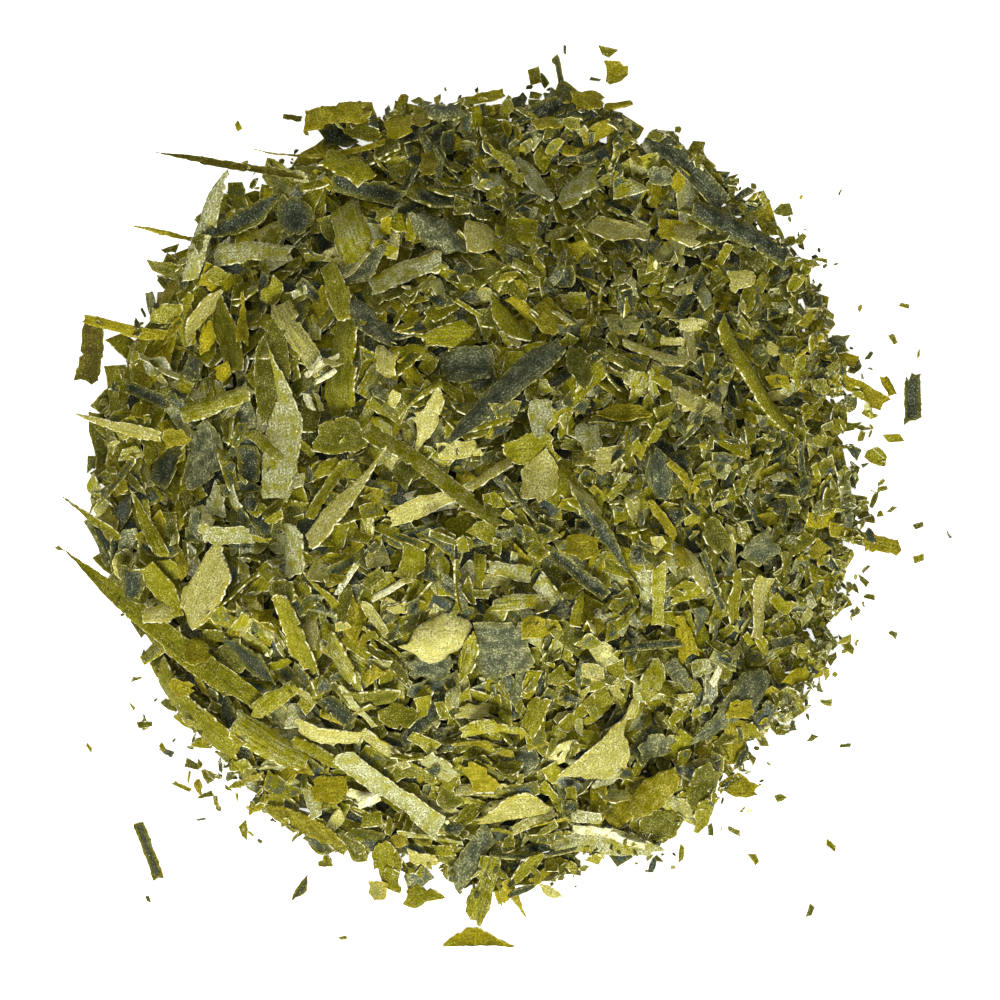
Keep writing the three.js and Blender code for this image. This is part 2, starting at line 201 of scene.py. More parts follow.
# The flakes that stand out, from the lowest up: form, tone, the two ends seen from above, width, how far the
# middle bows sideways, and the heights of a free end and of the other end.
NOTABLE_FLAKES = (
    # broad flakes that lie lowest
    (LEAF, DULL, -19.5, 16.9, -21.8, 6.7, 3.8),
    (CHIP, DULL, -16.1, 5.2, -11.3, 5.5, 3.5),
    (BLUNT_SHIELD, SLATE, -27.2, 6.7, -28.3, -0.3, 3.4),
    (LEAF, DARK, -32.7, 1.7, -29.9, 1.9, 4.0),
    (STRIP, OLIVE, -13.0, 16.7, -14.0, 7.2, 2.8),
    (CHIP, DARK, 17.2, 1.7, 21.0, 2.5, 3.4),
    (LEAF, DARK, -18.7, 29.0, -18.7, 25.1, 4.0),
    (LEAF, DULL, 15.6, -33.5, 20.0, -34.5, 4.2),
    (CHIP, DULL, 21.0, -29.8, 23.8, -29.8, 4.0),
    (CHIP, DULL, -27.2, -17.5, -23.7, -17.3, 2.8),
    (CHIP, SLATE, -7.2, -18.1, -2.8, -17.9, 3.0),
    (SQUARE_CHIP, SLATE, -0.3, -16.1, 4.8, -15.9, 5.3),
    (CHIP, MUSTARD, 2.5, -41.9, 1.8, -40.3, 1.6),
    (STRIP, DARK, 17.6, -24.1, 15.2, -27.3, 2.4),
    (LEAF, DULL, 9.5, 13.8, 9.8, 10.0, 2.8),
    (CHIP, SLATE, 16.8, 31.3, 19.2, 31.4, 1.8),
    (CHIP, DARK, -16.0, 35.0, -12.6, 35.4, 2.8),
    (CHIP, OLIVE, -13.4, 36.0, -10.0, 35.6, 2.4),
    # upper left
    (STRIP, MUSTARD, -17.7, 37.0, -10.4, 37.5, 2.2, 0.0, 1.8),
    (STRIP, UMBER, -19.8, 37.3, -17.9, 37.0, 0.6),
    (SPIKE, MUSTARD, -22.8, 34.1, -9.5, 34.7, 0.8, -1.3, 2.5),
    (PADDLE_STRIP, UMBER, -32.4, 33.3, -17.5, 30.6, 0.8, 0.3, 4.5),
    (SPIKE, GREY, -25.6, 31.9, -29.4, 20.9, 2.3, 0.0, 2.6),
    (LEAF, DARK, -27.5, 24.7, -20.4, 29.1, 2.2),
    (STRIP, GREY, -26.6, 23.5, -19.2, 23.7, 1.9),
    (STRIP, RIBBED, -13.8, 28.5, -11.8, 22.5, 3.2),
    (OVAL_LEAF, SLATE, -6.8, 27.4, -1.5, 23.2, 3.4),
    (CHIP, PALE, -1.5, 24.6, 1.7, 24.7, 2.8),
    (STRIP, DARK, -14.8, 30.7, -7.5, 28.8, 1.8),
    (STRIP, OLIVE, -15.4, 33.2, -11.1, 30.7, 2.2),
    (LEAF, SLATE, -14.2, 20.0, -9.2, 22.9, 2.2),
    (STRIP, CREAM, -14.3, 20.2, -10.9, 23.1, 0.5),
    (STRIP, GREY, -11.0, 19.7, -3.9, 22.7, 2.0),
    (STRIP, OLIVE, -15.0, 22.4, -13.3, 16.7, 2.0),
    (STRIP, REEDY, -20.4, 18.2, -16.0, 11.5, 2.4),
    (BROAD_BLADE, GREY, -20.7, 14.1, -19.2, -1.5, 3.7),
    (STRIP, OLIVE, -26.3, 17.9, -24.0, 11.5, 2.0),
    (LEAF, PALE, -29.6, 14.7, -26.2, 19.7, 1.4),
    (CHIP, YELLOW, -27.2, 16.5, -27.2, 13.7, 1.8),
    (SPIKE, MUSTARD, -23.7, 19.4, -23.8, 14.2, 1.4),
    (CHIP, YELLOW, -25.6, 12.4, -25.6, 10.4, 1.5),
    (CHIP, DUSTY, -32.9, 17.6, -29.8, 17.8, 2.0),
    (STRIP, MUSTARD, -39.6, 16.6, -31.6, 15.0, 0.9, 0.0, 3.4),
    (STRIP, UMBER, -38.7, 16.6, -39.4, 10.7, 2.0, 0.0, 3.6, 0.5),
    (STRIP, DUSTY, -29.4, 7.6, -22.8, 9.7, 2.2),
    (STRIP, DARK, -35.2, 10.0, -31.0, 8.2, 1.6),
    (SPIKE, PALE, -40.6, 7.2, -31.9, 5.0, 1.2, 0.0, 1.8),
    (CHIP, MUSTARD, -31.5, 5.0, -29.3, 5.2, 2.0),
    (SPIKE, MUSTARD, -34.6, 26.3, -29.0, 24.9, 0.7, 0.0, 1.6),
    (SPIKE, OLIVE, -41.9, -1.1, -36.0, -5.2, 0.9, 0.0, 1.2),
    (CHIP, MUSTARD, -6.0, 32.0, -4.2, 32.0, 3.2),
    (STRIP, MUSTARD, -7.5, 39.5, -8.2, 36.7, 1.0),
    (CHIP, MUSTARD, -6.8, 37.3, -4.9, 37.4, 2.2),
    (CHIP, MUSTARD, -9.6, 36.1, -6.9, 36.3, 2.4),
    (CHIP, SLATE, -5.5, 37.7, -1.8, 37.9, 1.8),
    (LEAF, SLATE, -12.7, 18.5, -8.9, 14.1, 2.6),
    (FAN_LEAF, OLIVE, -6.2, 15.0, -0.5, 15.4, 2.9),
    (STRIP, SHALE, -3.9, 11.7, 1.3, 12.2, 3.2),
    (LEAF, CREAM, -4.4, 9.5, -5.8, 3.8, 2.8),
    (SPIKE, OLIVE, -8.2, 6.9, -3.9, 10.6, 0.9),
    (STRIP, PALE, -9.2, 13.7, -9.4, 10.9, 2.2),
    (STRIP, DUSTY, -22.9, 5.5, -19.4, 2.6, 1.4),
    # the middle
    (LONG_STRIP, SHALE, -3.0, 4.7, 8.0, 14.2, 2.2),
    (STRIP, OLIVE, -16.9, -3.0, -13.0, 2.9, 1.2),
    (SPIKE, PALE, -9.2, 3.5, -16.9, -5.6, 2.0),
    (SPLIT_STRIP, CREAM, -8.9, -3.3, 2.0, 1.4, 1.8),
    (STRIP, DUSTY, -11.1, 5.8, 2.0, -3.8, 1.5),
    (CHIP, PALE, -1.4, -0.1, 3.2, 2.6, 1.1),
    (FAN_LEAF, OLIVE, 2.4, 3.7, 7.4, 4.2, 3.6),
    (SHIELD_LEAF, PALE, 6.5, 3.8, 5.5, -1.3, 3.7),
    (CHIP, GREY, 6.0, 8.4, 6.1, 5.0, 2.2),
    (CHIP, PALE, 8.9, 0.2, 11.9, -2.8, 1.4),
    (LEAF, SHALE, 17.5, 3.5, 18.2, -1.3, 2.8),
    (STRIP, MUSTARD, 18.6, 2.6, 21.0, 0.1, 0.8),
    (CHIP, GREY, 10.8, 6.1, 11.0, 3.5, 2.1),
    (LEAF, MUSTARD, 11.9, 7.2, 16.9, 7.5, 1.8),
    (LEAF, OLIVE, 1.0, 19.0, 4.8, 14.4, 2.2),
    (SPINDLE, DARK, 9.2, -0.5, 16.1, -10.2, 2.1),
    (CHIP, MUSTARD, 8.5, -5.9, 11.7, -5.8, 2.2),
    (STRIP, DARK, 7.1, -6.4, 12.5, -10.8, 1.5),
    # upper right
    (STRIP, SHALE, 17.2, 35.6, 24.5, 28.2, 2.6),
    (STRIP, DARK, 21.3, 28.0, 31.0, 22.9, 2.5),
    (FIN_LEAF, PALE, 11.0, 26.6, 16.9, 24.9, 2.1),
    (BARK_CHIP, GREY, 7.7, 28.5, 11.9, 31.6, 2.2),
    (LEAF, GREY, 3.5, 32.7, 7.1, 28.5, 1.7),
    (LEAF, DUSTY, 1.3, 34.1, 4.4, 30.7, 2.0),
    (STRIP, DARK, 29.0, 20.8, 33.5, 22.5, 1.0),
    (STRIP, OLIVE, 33.2, 22.9, 31.0, 19.7, 1.4),
    (CHIP, PALE, 25.0, 20.7, 27.5, 20.7, 2.0),
    (STRIP, OLIVE, 24.0, 16.7, 30.7, 6.1, 1.4, -0.5),
    (STRIP, PALE, 14.2, 14.4, 20.7, 12.2, 1.0),
    (STRIP, DARK, 22.2, 20.9, 19.5, 16.7, 1.3),
    (CHIP, CREAM, 19.5, 19.7, 21.1, 19.7, 1.2),
    (CHIP, CREAM, 19.8, 16.1, 22.3, 16.2, 1.7),
    (CHIP, CREAM, 18.1, 14.5, 20.4, 14.5, 1.1),
    (CHIP, DUSTY, 8.3, 18.4, 10.7, 18.4, 2.1),
    (STRIP, MUSTARD, 35.5, 11.1, 40.6, 8.4, 1.4, 0.0, 1.6),
    (STRIP, GREY, 36.3, 1.7, 37.0, -4.3, 1.2),
    (CHIP, SLATE, 35.0, 14.5, 36.8, 14.5, 1.5),
    (CHIP, MUSTARD, 17.8, 25.9, 20.0, 26.0, 1.9),
    (CHIP, PALE, 19.5, 25.0, 21.9, 25.0, 2.4),
    (STRIP, MUSTARD, -1.9, 38.6, 2.3, 39.5, 1.0),
    (STRIP, SLATE, 6.9, 39.9, 7.1, 38.2, 1.1),
    (CHIP, MUSTARD, 9.5, 38.7, 12.2, 38.8, 2.0),
    (STRIP, MUSTARD, 12.4, 38.0, 15.3, 38.6, 0.7, 0.0, 1.0),
    # lower left
    (LONG_BLADE, OLIVE, -42.7, -5.6, -21.0, -22.3, 2.6, -0.4, 1.6),
    (STRIP, OLIVE, -32.7, -18.5, -24.5, -26.7, 2.0),
    (STRIP, RIBBED, -24.8, -23.5, -17.5, -27.6, 2.4),
    (STRIP, OLIVE, -18.9, -25.3, -12.7, -28.2, 1.6),
    (STRIP, CREAM, -18.3, -23.8, -12.2, -25.5, 1.6),
    (STRIP, GREY, -13.6, -26.7, -3.9, -34.1, 2.2),
    (NOTCHED_LEAF, PALE, -25.7, -6.1, -29.5, -13.0, 3.4),
    (STRIP, OLIVE, -33.4, -7.6, -30.2, -12.6, 2.0),
    (SPIKE, OLIVE, -34.9, -0.5, -31.6, -7.0, 1.5),
    (STRIP, GREY, -27.5, -4.8, -22.5, -4.8, 1.6),
    (LEAF, DARK, -25.1, -15.2, -20.4, -19.3, 1.8),
    (CHIP, MUSTARD, -29.5, -16.7, -26.8, -16.6, 2.6),
    (STRIP, DUSTY, -22.5, -22.6, -18.5, -19.6, 1.8),
    (CHIP, MUSTARD, -30.9, -20.1, -28.8, -20.1, 2.0),
    (KITE_LEAF, CREAM, -7.4, -15.8, -1.0, -14.6, 3.9),
    (LEAF, RIBBED, -0.7, -14.7, -1.8, -19.3, 1.8),
    (STRIP, CREAM, -11.5, -11.5, -9.2, -14.6, 1.0),
    (STRIP, WHITE, -10.7, -11.1, -7.5, -9.3, 0.7),
    (CHIP, MUSTARD, -1.2, -29.3, 1.4, -29.1, 3.2),
    (STRIP, WHITE, -13.2, -30.3, -10.6, -31.6, 1.0),
    (STRIP, WHITE, -12.2, -31.8, -10.0, -30.9, 0.7),
    (CHIP, MUSTARD, -16.6, -30.3, -13.3, -30.1, 3.2),
    (STRIP, SLATE, -2.7, -39.7, 1.1, -34.4, 2.6, 0.0, 1.9),
    (STRIP, FURROWED, -0.4, -43.5, 1.4, -37.0, 2.6, 0.0, 0.7),
    (STRIP, PALE, -7.1, -37.0, -4.2, -37.3, 1.4),
    (LEAF, MUSTARD, -21.3, -32.0, -13.9, -35.6, 2.2),
    (CHIP, MUSTARD, -23.1, -32.6, -21.3, -31.1, 1.2),
    (CHIP, OLIVE, -9.9, -35.6, -9.9, -38.5, 2.2),
    (CHIP, DARK, -34.6, -8.1, -34.5, -11.1, 2.6),
    (CHIP, PALE, -33.5, -12.8, -30.8, -12.7, 1.8),
    (STRIP, OLIVE, -19.5, -10.8, -16.6, -18.5, 1.6),
    (LEAF, RIBBED, -15.1, -14.6, -12.8, -19.3, 1.8),
    (STRIP, GREY, -18.5, -3.9, -18.6, -9.0, 1.8),
    (STRIP, OLIVE, -0.2, -6.7, -0.2, -10.8, 1.3),
    (LEAF, OLIVE, -10.0, -23.1, -6.0, -22.9, 3.2),
    (STRIP, WHITE, -17.5, 10.9, -14.0, 13.0, 0.6),
    (STRIP, WHITE, -17.0, 11.1, -15.8, 12.9, 0.5),
    (STRIP, WHITE, -16.2, 10.4, -14.1, 11.6, 0.5),
    (STRIP, CREAM, -15.5, 12.6, -13.8, 12.0, 0.6),
    (STRIP, WHITE, -17.2, 9.2, -16.7, 7.7, 0.7),
    (STRIP, CREAM, -16.3, 9.3, -15.7, 7.6, 0.5),
    # lower right
    (BLUNT_LEAF, PALE, 9.6, -29.4, 14.8, -23.5, 3.7),
    (CRESCENT_LEAF, PALE, -0.2, -33.5, 7.4, -32.0, 2.3),
    (ARCHED_LEAF, GREY, 7.3, -36.2, 18.5, -36.5, 2.8, 0.0, 1.6),
    # The two white strips that follow lie on the arched leaf's ridge as its painted highlight.
    (STRIP, WHITE, 9.4, -34.2, 13.4, -34.6, 0.9),
    (STRIP, WHITE, 13.0, -34.6, 16.6, -35.9, 0.8),
    (LEAF, AMBER, 15.1, -32.6, 19.2, -28.2, 2.5),
    (PADDLE_STRIP, SLATE, 21.6, -25.8, 29.0, -18.8, 3.1),
    (SQUARE_CHIP, MUSTARD, 24.8, -22.1, 27.2, -22.1, 1.8),
    (LEAF, MUSTARD, 27.8, -30.1, 24.2, -30.3, 2.6, 0.0, 0.6),
    (WEDGE, MUSTARD, 19.9, -12.5, 20.6, -17.2, 2.5),
    (STRIP, DUSTY, 17.8, -7.6, 17.7, -13.7, 1.5),
    (STRIP, PALE, 28.4, -9.0, 27.6, -15.2, 1.4),
    (LEAF, SLATE, 26.3, -6.1, 29.8, -6.3, 3.0),
    (STRIP, DARK, 22.0, -6.4, 24.2, -12.3, 0.7),
    (STRIP, OLIVE, 25.6, -8.3, 25.3, -13.3, 1.1),
    (STRIP, DARK, 13.8, -16.0, 19.8, -15.5, 0.9),
    (LEAF, DUSTY, 17.5, -17.3, 16.5, -21.4, 2.3),
    (STRIP, SLATE, 18.9, -17.3, 21.0, -20.1, 1.5),
    (SQUARE_CHIP, SLATE, 15.8, -25.9, 19.0, -25.9, 2.2),
    (STRIP, MUSTARD, 42.0, -6.3, 35.0, -4.2, 1.5, 0.0, 0.5),
    (LEAF, MUSTARD, 34.9, -18.1, 30.6, -19.3, 1.5, 0.0, 0.6),
    (STRIP, MUSTARD, 16.9, -1.1, 19.5, -4.9, 1.0),
    (STRIP, DULL, 22.5, -3.1, 24.5, -6.1, 1.8),
    (STRIP, GREY, 0.7, -7.9, 5.1, -8.7, 1.4),
    (STRIP, OLIVE, 4.6, -24.6, 6.0, -21.1, 1.6),
    (CHIP, CREAM, 7.5, -23.5, 9.3, -23.4, 2.2),
    (STRIP, RIBBED, -2.0, -24.1, 4.8, -24.1, 1.2),
    (CHIP, CREAM, -2.0, -22.3, 1.0, -22.2, 1.8),
    (SPIKE, MUSTARD, 4.5, -43.2, 2.4, -39.3, 1.0, 0.0, 0.4),
    (STRIP, DARK, 5.6, -39.9, 2.8, -40.9, 0.7, 0.0, 1.2),
    (STRIP, DARK, 1.0, -37.0, 9.8, -36.5, 0.5),
    (LEAF, OLIVE, 3.0, -39.4, 6.5, -36.8, 1.4),
    (STRIP, OLIVE, 23.1, -31.1, 21.9, -34.4, 1.4),
)

# The flakes that lie apart, by the solid each stands for: form, tone, the two ends and width.
STRAY_FLAKES = {
    "stray_dark_flake": (STRIP, DARK, 43.4, 11.2, 43.3, 6.7, 1.9),
    "stray_olive_strip": (STRIP, MUSTARD, 40.5, 11.2, 41.5, 9.3, 0.9),
    "stray_boat_leaf": (ARCHED_LEAF, MUSTARD, -3.9, -45.9, 3.5, -46.1, 1.9),
    "stray_dark_strip": (STRIP, PEATY, -34.3, -33.8, -32.3, -39.4, 1.1),
    "stray_top_chip": (SQUARE_CHIP, MUSTARD, 12.7, 41.9, 14.8, 41.7, 1.9),
    "stray_top_strip": (STRIP, PEATY, 7.6, 43.3, 8.2, 40.4, 0.7),
    "stray_left_strip": (STRIP, OLIVE, -30.9, -29.7, -29.1, -30.5, 0.6),
    "stray_left_chip": (LEAF, MUSTARD, -28.3, -29.3, -28.1, -31.0, 1.0),
    "stray_yellow_chip": (STRIP, STRAW, -11.3, -40.5, -9.4, -40.6, 2.0),
    "stray_drop_chip": (LEAF, PEATY, -17.2, -39.3, -18.7, -41.6, 1.1),
    "stray_tailed_chip": (SPIKE, OLIVE, -3.4, -41.3, -7.4, -40.9, 2.3),
    "stray_pale_chip": (LEAF, PALE, 5.9, -39.9, 8.3, -41.3, 1.2),
    "stray_right_chip": (STRIP, OLIVE, 38.9, 3.6, 40.8, 2.6, 1.2),
}

# Crumbs that lie clear of the heap: place and length.
LOOSE_CRUMBS = (
    (5.5, 41.2, 2.0), (27.6, -37.3, 1.4), (36.7, -26.0, 1.3), (44.1, -7.1, 1.3), (11.5, 41.0, 1.2),
    (33.2, -42.5, 1.3), (42.7, 18.2, 1.2), (-24.3, 36.3, 1.2), (-28.1, -33.4, 1.0), (-26.7, -31.6, 1.2),
    (30.2, -31.2, 1.3), (38.4, -2.8, 1.4), (41.5, 14.9, 1.0), (35.3, -36.1, 1.2), (39.1, -11.0, 1.2),
    (40.5, -0.1, 1.2), (41.4, -2.3, 1.0), (44.0, -3.9, 1.2), (31.9, 23.0, 1.0), (-39.3, -26.2, 1.2),
    (8.5, 44.0, 1.0), (12.6, 43.7, 1.6), (41.6, -14.8, 0.9), (47.1, -4.8, 0.8), (44.1, 13.4, 0.9),
    (-13.7, -45.3, 0.8), (-33.4, -41.4, 0.8), (41.7, 5.0, 2.0), (25.5, -34.5, 1.4), (36.2, 29.6, 0.7),
)
CRUMB_TONES = (MUSTARD, OLIVE, UMBER, MUSTARD, DULL, UMBER)

# Layers of the heap: number of flakes, which is also the layer's seed, forms, length, width as a share of
# length, spread of the tilt, share of a flake that lies clear of what is under it, how far the layer leans to
# where the flakes are coarse, or to where they are fine if it is below zero, and the length of one step along
# a flake.
BED_LAYERS = (
    (700, (CHIP, STRIP), (3.0, 6.0), (0.3, 0.6), 0.2, 0.85, 0, 0.9),
    (1300, (CHIP, STRIP, WEDGE), (1.4, 3.0), (0.35, 0.8), 0.35, 0.88, 0, 0.9),
    (750, (STRIP, CHIP, WEDGE), (2.6, 5.6), (0.3, 0.6), 0.24, 0.9, 0, 0.6),
)
MIDDLE_LAYERS = (
    (360, (STRIP, STRIP, STRIP, WEDGE, FIN_LEAF), (3.6, 8.0), (0.18, 0.4), 0.16, 0.92, 0.6, 0.4),
    (800, (CHIP, STRIP, WEDGE), (1.8, 4.2), (0.35, 0.7), 0.26, 0.92, 0, 0.4),
)
TOP_LAYERS = (
    (190, (STRIP, STRIP, STRIP, WEDGE, FAN_LEAF), (3.2, 6.5), (0.18, 0.4), 0.16, 0.92, 0.6, 0.4),
    (520, (CHIP, STRIP, WEDGE), (1.8, 4.0), (0.35, 0.7), 0.22, 0.92, 0, 0.4),
    (260, (STRIP, STRIP, SPIKE), (2.5, 6.5), (0.08, 0.18), 0.16, 0.93, 0.3, 0.4),
    (1400, (CHIP, CHIP, STRIP, WEDGE), (1.1, 2.6), (0.35, 0.85), 0.27, 0.93, -0.5, 0.4),
)
TONE_MIX = (
    (OLIVE, 0.44), (DULL, 0.12), (RIBBED, 0.09), (GREY, 0.07), (DARK, 0.08), (SLATE, 0.05),
    (MUSTARD, 0.085), (YELLOW, 0.004), (PALE, 0.045), (CREAM, 0.012), (WHITE, 0.003),
)

# Share of a flake that may lie over the flakes that stand out, by layer, and how far single flakes depart
# from it.
BED_COVER = 1
MIDDLE_COVER = 0.55
TOP_COVER = 0.14
COVER_SPREAD = (0.6, 1.4)

# How the layers are spread out: steps of an even spread, lumps of the rim, and sizes where flakes are coarse
# or fine.
SPREAD_TURN = 0.7548776662
SPREAD_REACH = 0.5698402910
JITTER = 0.5
RIM_LUMP = 0.9
RIM_LUMPS = 9
RIM_LUMP_SWELLS = 4
COARSE_SIZE = 1.06
FINE_SHRINK = 0.16
LEAST_WIDTH = 0.45
STEEP_TILT = 2.2
STEEP_TILT_CHANCE = 0.1
LAYER_STEPS = (4, 20)
LAYER_ROWS = 3

# Where single flakes make the outline, and the room they get.
FREE_RIM = ((3.55, 1.5), (1.93, 2.0))
FREE_RIM_POWER = 24

# Long flakes lie along the rim on one side: the way to it, its width as a cosine, and which flakes do so.
SWEPT_SIDE = 3.75
SWEPT_COSINE = 0.4
SWEPT_FROM = 24
SWEPT_LENGTH = 3
SWEPT_CHANCE = 0.75
SWEPT_SPREAD = 0.3

# More dark flakes lie where they are fine, and more mustard ones at the rim.
MORE_DARK = 1.8
MORE_SLATE = 0.4
MORE_MUSTARD = 2.2
MUSTARD_FROM = 33

# Olive flakes are sorted by length into blades, chips and bits.
BLADE_LENGTH = 4.5
CHIP_LENGTH = 2.4

# How the flakes that stand out and those that lie apart are laid.
NOTABLE_SEED = 7
STRAY_SEED = 11
NOTABLE_TILT = 0.05
NOTABLE_CLEAR = 0.985
FINE_STEP = 0.28
STEPS_ALONG = (6, 60)
WIDE_FLAKE = 1.5
WIDE_ROWS = 6
NARROW_ROWS = 4
CLEAR_STEPS = 80
CLEAR_ROWS = 20

# Bits spilt on the floor round the foot: the way they lie from the centre, its spread, their number and how
# far out they reach. Crumbs that lie clear are laid in the same way.
SPILT_BITS = (
    (0.0, 0.5, 150, 1.3), (-0.45, 0.3, 60, 1.6), (3.98, 0.16, 45, 2.2), (0.75, 0.3, 40, 0.8),
    (1.9, 0.5, 36, 0.6), (4.9, 0.4, 40, 0.9), (2.7, 0.4, 20, 0.5),
)
SPILT_FORMS = (CHIP, WEDGE, SPIKE)
SPILT_LENGTH = (0.5, 1.9)
SPILT_SLIMNESS = (0.3, 0.8)
SPILT_STEPS = 4
SPILT_INSET = 0.3
SPILT_MOST = 4
CRUMB_SLIMNESS = (0.4, 0.8)
CRUMB_STEPS = 3
CRUMB_CLEAR = 0.9
ANY_WAY = 6.3

# The flat copies of flakes on the map that the looks are baked to.
MAP_GAP = 0.3
MAP_FILL = 1.03
MAP_GROWTH = 1.02
WALL_FLARE = 0.12
NO_LENGTH = 1e-9
FLAKE_VALUES = ("tone", "shade", "bloom", "ribs", "skirt", "patch", "half_length")

# Kelp materials by slot. Colours are as eyes see them, 0 to 255. The ends of a ramp come before its other
# stops. The skirt is the thin edge, which reaches in by so many millimetres, and the rim its broken pale
# outline, partly the torn edge's own colour and partly painted highlight.
KELP_PAINTS = {
    "olive_kelp": {
        "ramp": (
            (0.0, (61, 61, 6)), (1.0, (126, 127, 80)), (0.25, (79, 78, 3)), (0.5, (98, 95, 3)),
            (0.75, (115, 111, 10)),
        ),
        "patch": (48, 57, 48),
        "bloom": (210, 210, 182),
        "skirt": (104, 97, 3),
        "rim": (212, 210, 168),
        "strengths": {"Speckle": 0.8, "Edge": 0.95, "Skirt Reach": 0.45},
    },
    "dark_kelp": {
        "ramp": ((0.0, (24, 28, 14)), (1.0, (90, 91, 50)), (0.4, (39, 45, 31)), (0.7, (56, 60, 40))),
        "patch": (50, 59, 52),
        "bloom": (204, 202, 158),
        "skirt": (86, 83, 6),
        "rim": (172, 168, 108),
        "strengths": {"Speckle": 0.75, "Edge": 0.8, "Skirt Reach": 0.8},
    },
    "mustard_kelp": {
        "ramp": ((0.0, (50, 46, 6)), (1.0, (146, 134, 20)), (0.24, (76, 70, 4)), (0.5, (106, 99, 6))),
        "patch": (62, 61, 8),
        "bloom": (186, 182, 130),
        "skirt": (110, 100, 3),
        "rim": (190, 182, 110),
        "strengths": {"Speckle": 0.65, "Edge": 0.65, "Skirt Reach": 0.45},
    },
    "pale_kelp": {
        "ramp": (
            (0.0, (120, 116, 52)), (1.0, (190, 188, 150)), (0.5, (143, 138, 70)), (0.75, (160, 156, 98)),
        ),
        "patch": (100, 102, 54),
        "bloom": (222, 223, 202),
        "skirt": (134, 124, 30),
        "rim": (220, 220, 194),
        "strengths": {"Speckle": 0.7, "Edge": 0.8, "Skirt Reach": 0.45},
    },
}
CRUMB_RAMP = (
    (0.0, (34, 36, 14)), (1.0, (196, 192, 140)), (0.25, (62, 62, 14)), (0.55, (96, 92, 14)),
    (0.75, (112, 104, 20)), (0.9, (126, 124, 66)),
)
KELP_ROUGHNESS = 0.65
KELP_GLOSS = 0.04
SKIRT_SHARE = 0.7
RELIEF_STRENGTH = 0.7
RELIEF_DEPTH = 0.0002
CRUMB_ROUGHNESS = 0.7
CRUMB_GLOSS = 0.14
CRUMB_GRIT = 5000.0
PLAIN_ROUGHNESS = 0.9
PLAIN_GLOSS = 0.2

# Fine crumbs: small ragged plates of a few shapes, one millimetre across before they are scaled.
CRUMB_SIDES = 5
CRUMB_SHAPES = 7
CRUMB_SHAPE_SEED = 23
CRUMB_REACH = (0.25, 0.62)
CRUMB_SLIM = (0.3, 0.9)
CRUMB_RISE = 0.06
CRUMB_TOP = 0.26
CRUMB_UNDER = 0.06
CRUMB_LEAN = 0.5
CRUMB_TONE_SEED = 4
CRUMB_INPUTS = {"Crumbs per Square Metre": 1.1e6, "Smallest": 0.4, "Largest": 1.1, "Seed": 3}

# How thick the crumbs lie: fewer on slopes and on flakes that stand out, more in hollows, fading out on the
# floor.
SURFACE_STEP = 2
HOLLOW_REACH = 4
CRUMB_SLOPE = 1.2
LEVEL_CRUMBS = 0.35
HOLLOW_CRUMBS = 0.8
CRUMB_RANGE = (0.02, 2)
COARSE_CRUMBS = 0.5
NOTABLE_CRUMBS = 0.1
FLOOR_CRUMBS = 0.14
FLOOR_START = 0.5
FLOOR_FADE = 2.2
FLOOR_REACH = 5
FLOOR_SIDE = 0.8
FLOOR_SIDE_TURN = 0.2
HEAP_EDGE = -1

# A crumb's square on the map: middles of its top and underside, their radius and how far the wall spreads.
CRUMB_TOP_SPOT = (0.25, 0.5)
CRUMB_UNDER_SPOT = (0.75, 0.5)
CRUMB_SPOT_RADIUS = 0.14
CRUMB_WALL_FLARE = 1.5

# The floor lies a hair under the flakes.
FLOOR_SIZE = 3.0
FLOOR_LEVEL = -2e-5
FLOOR_COLOUR = (248, 248, 247)
FLOOR_GLOW = 0.7

# Lights: name, place, size and power.
SOFTBOXES = (
    ("front softbox", (0.05, -0.75, 0.72), 0.42, 23.0),
    ("top softbox", (-0.1, 0.1, 1.1), 0.8, 7.5),
)
LIGHT_AIM = (0, 0, 0.01)
SKY_STRENGTH = 0.27

# The camera looks straight down. Its frame is 100 mm wide at the height where most of the outline lies.
CAMERA_HEIGHT = 0.9
CAMERA_PLACE = (0.00116, 0.00029, CAMERA_HEIGHT)
FRAME_WIDTH = 0.1
FRAME_LEVEL = 0.005
SENSOR_WIDTH = 36
VIEW_END = 10
WHITE_LIGHT = (1, 1, 1, 1)

side = int(2 * FIELD / CELL) + 1
axis = np.arange(side) * CELL - FIELD


def foot_radius(angle):
    """How far out the heap's foot lies in a direction."""
    return FOOT_RADIUS + sum(size * np.cos(count * (angle - first)) for count, size, first in FOOT_SWELLS)


def core_height(x, y):
    """Height of the core at a place. It is flatter on top than the heap, lies inside its foot and ends in a
    lip."""
    out, foot = np.hypot(x, y), foot_radius(np.arctan2(y, x))
    mound = (HEAP_HEIGHT - CORE_DEPTH) * (1 - np.minimum(out / (foot - CORE_FOOT_INSET), 1) ** CORE_POWER)
    return np.where(out <= foot - LIP_INSET + EDGE_SLACK, np.maximum(mound, LIP_HEIGHT), 0)


def fineness(x, y):
    """From 0 at the side where the flakes are coarse to 1 where they are fine."""
    return np.clip((x + FINE_LEAN * y + FINE_OFFSET) / FINE_SPAN, 0, 1)


# Heights of what lies there so far, the places of the flakes that stand out, and the flakes of each piece.
ground = core_height(axis[None, :], axis[:, None])
kept_clear = np.zeros((side, side), bool)
flakes = {}


def cells(points):
    """Rows and columns of the field of heights at some points."""
    at = ((points[:, :2] + FIELD) / CELL + 0.5).astype(int).clip(0, side - 1)
    return at[:, 1], at[:, 0]


def rimmed(count, share):
    """Even steps from -1 to 1 with a narrow one at each end."""
    edge = min(2 * share, 0.5)
    return np.concatenate(([-1], np.linspace(-1 + edge, 1 - edge, count - 1), [1]))


def own_shape(form):
    """Whether a form has its two sides measured apart."""
    return isinstance(form[0], tuple)


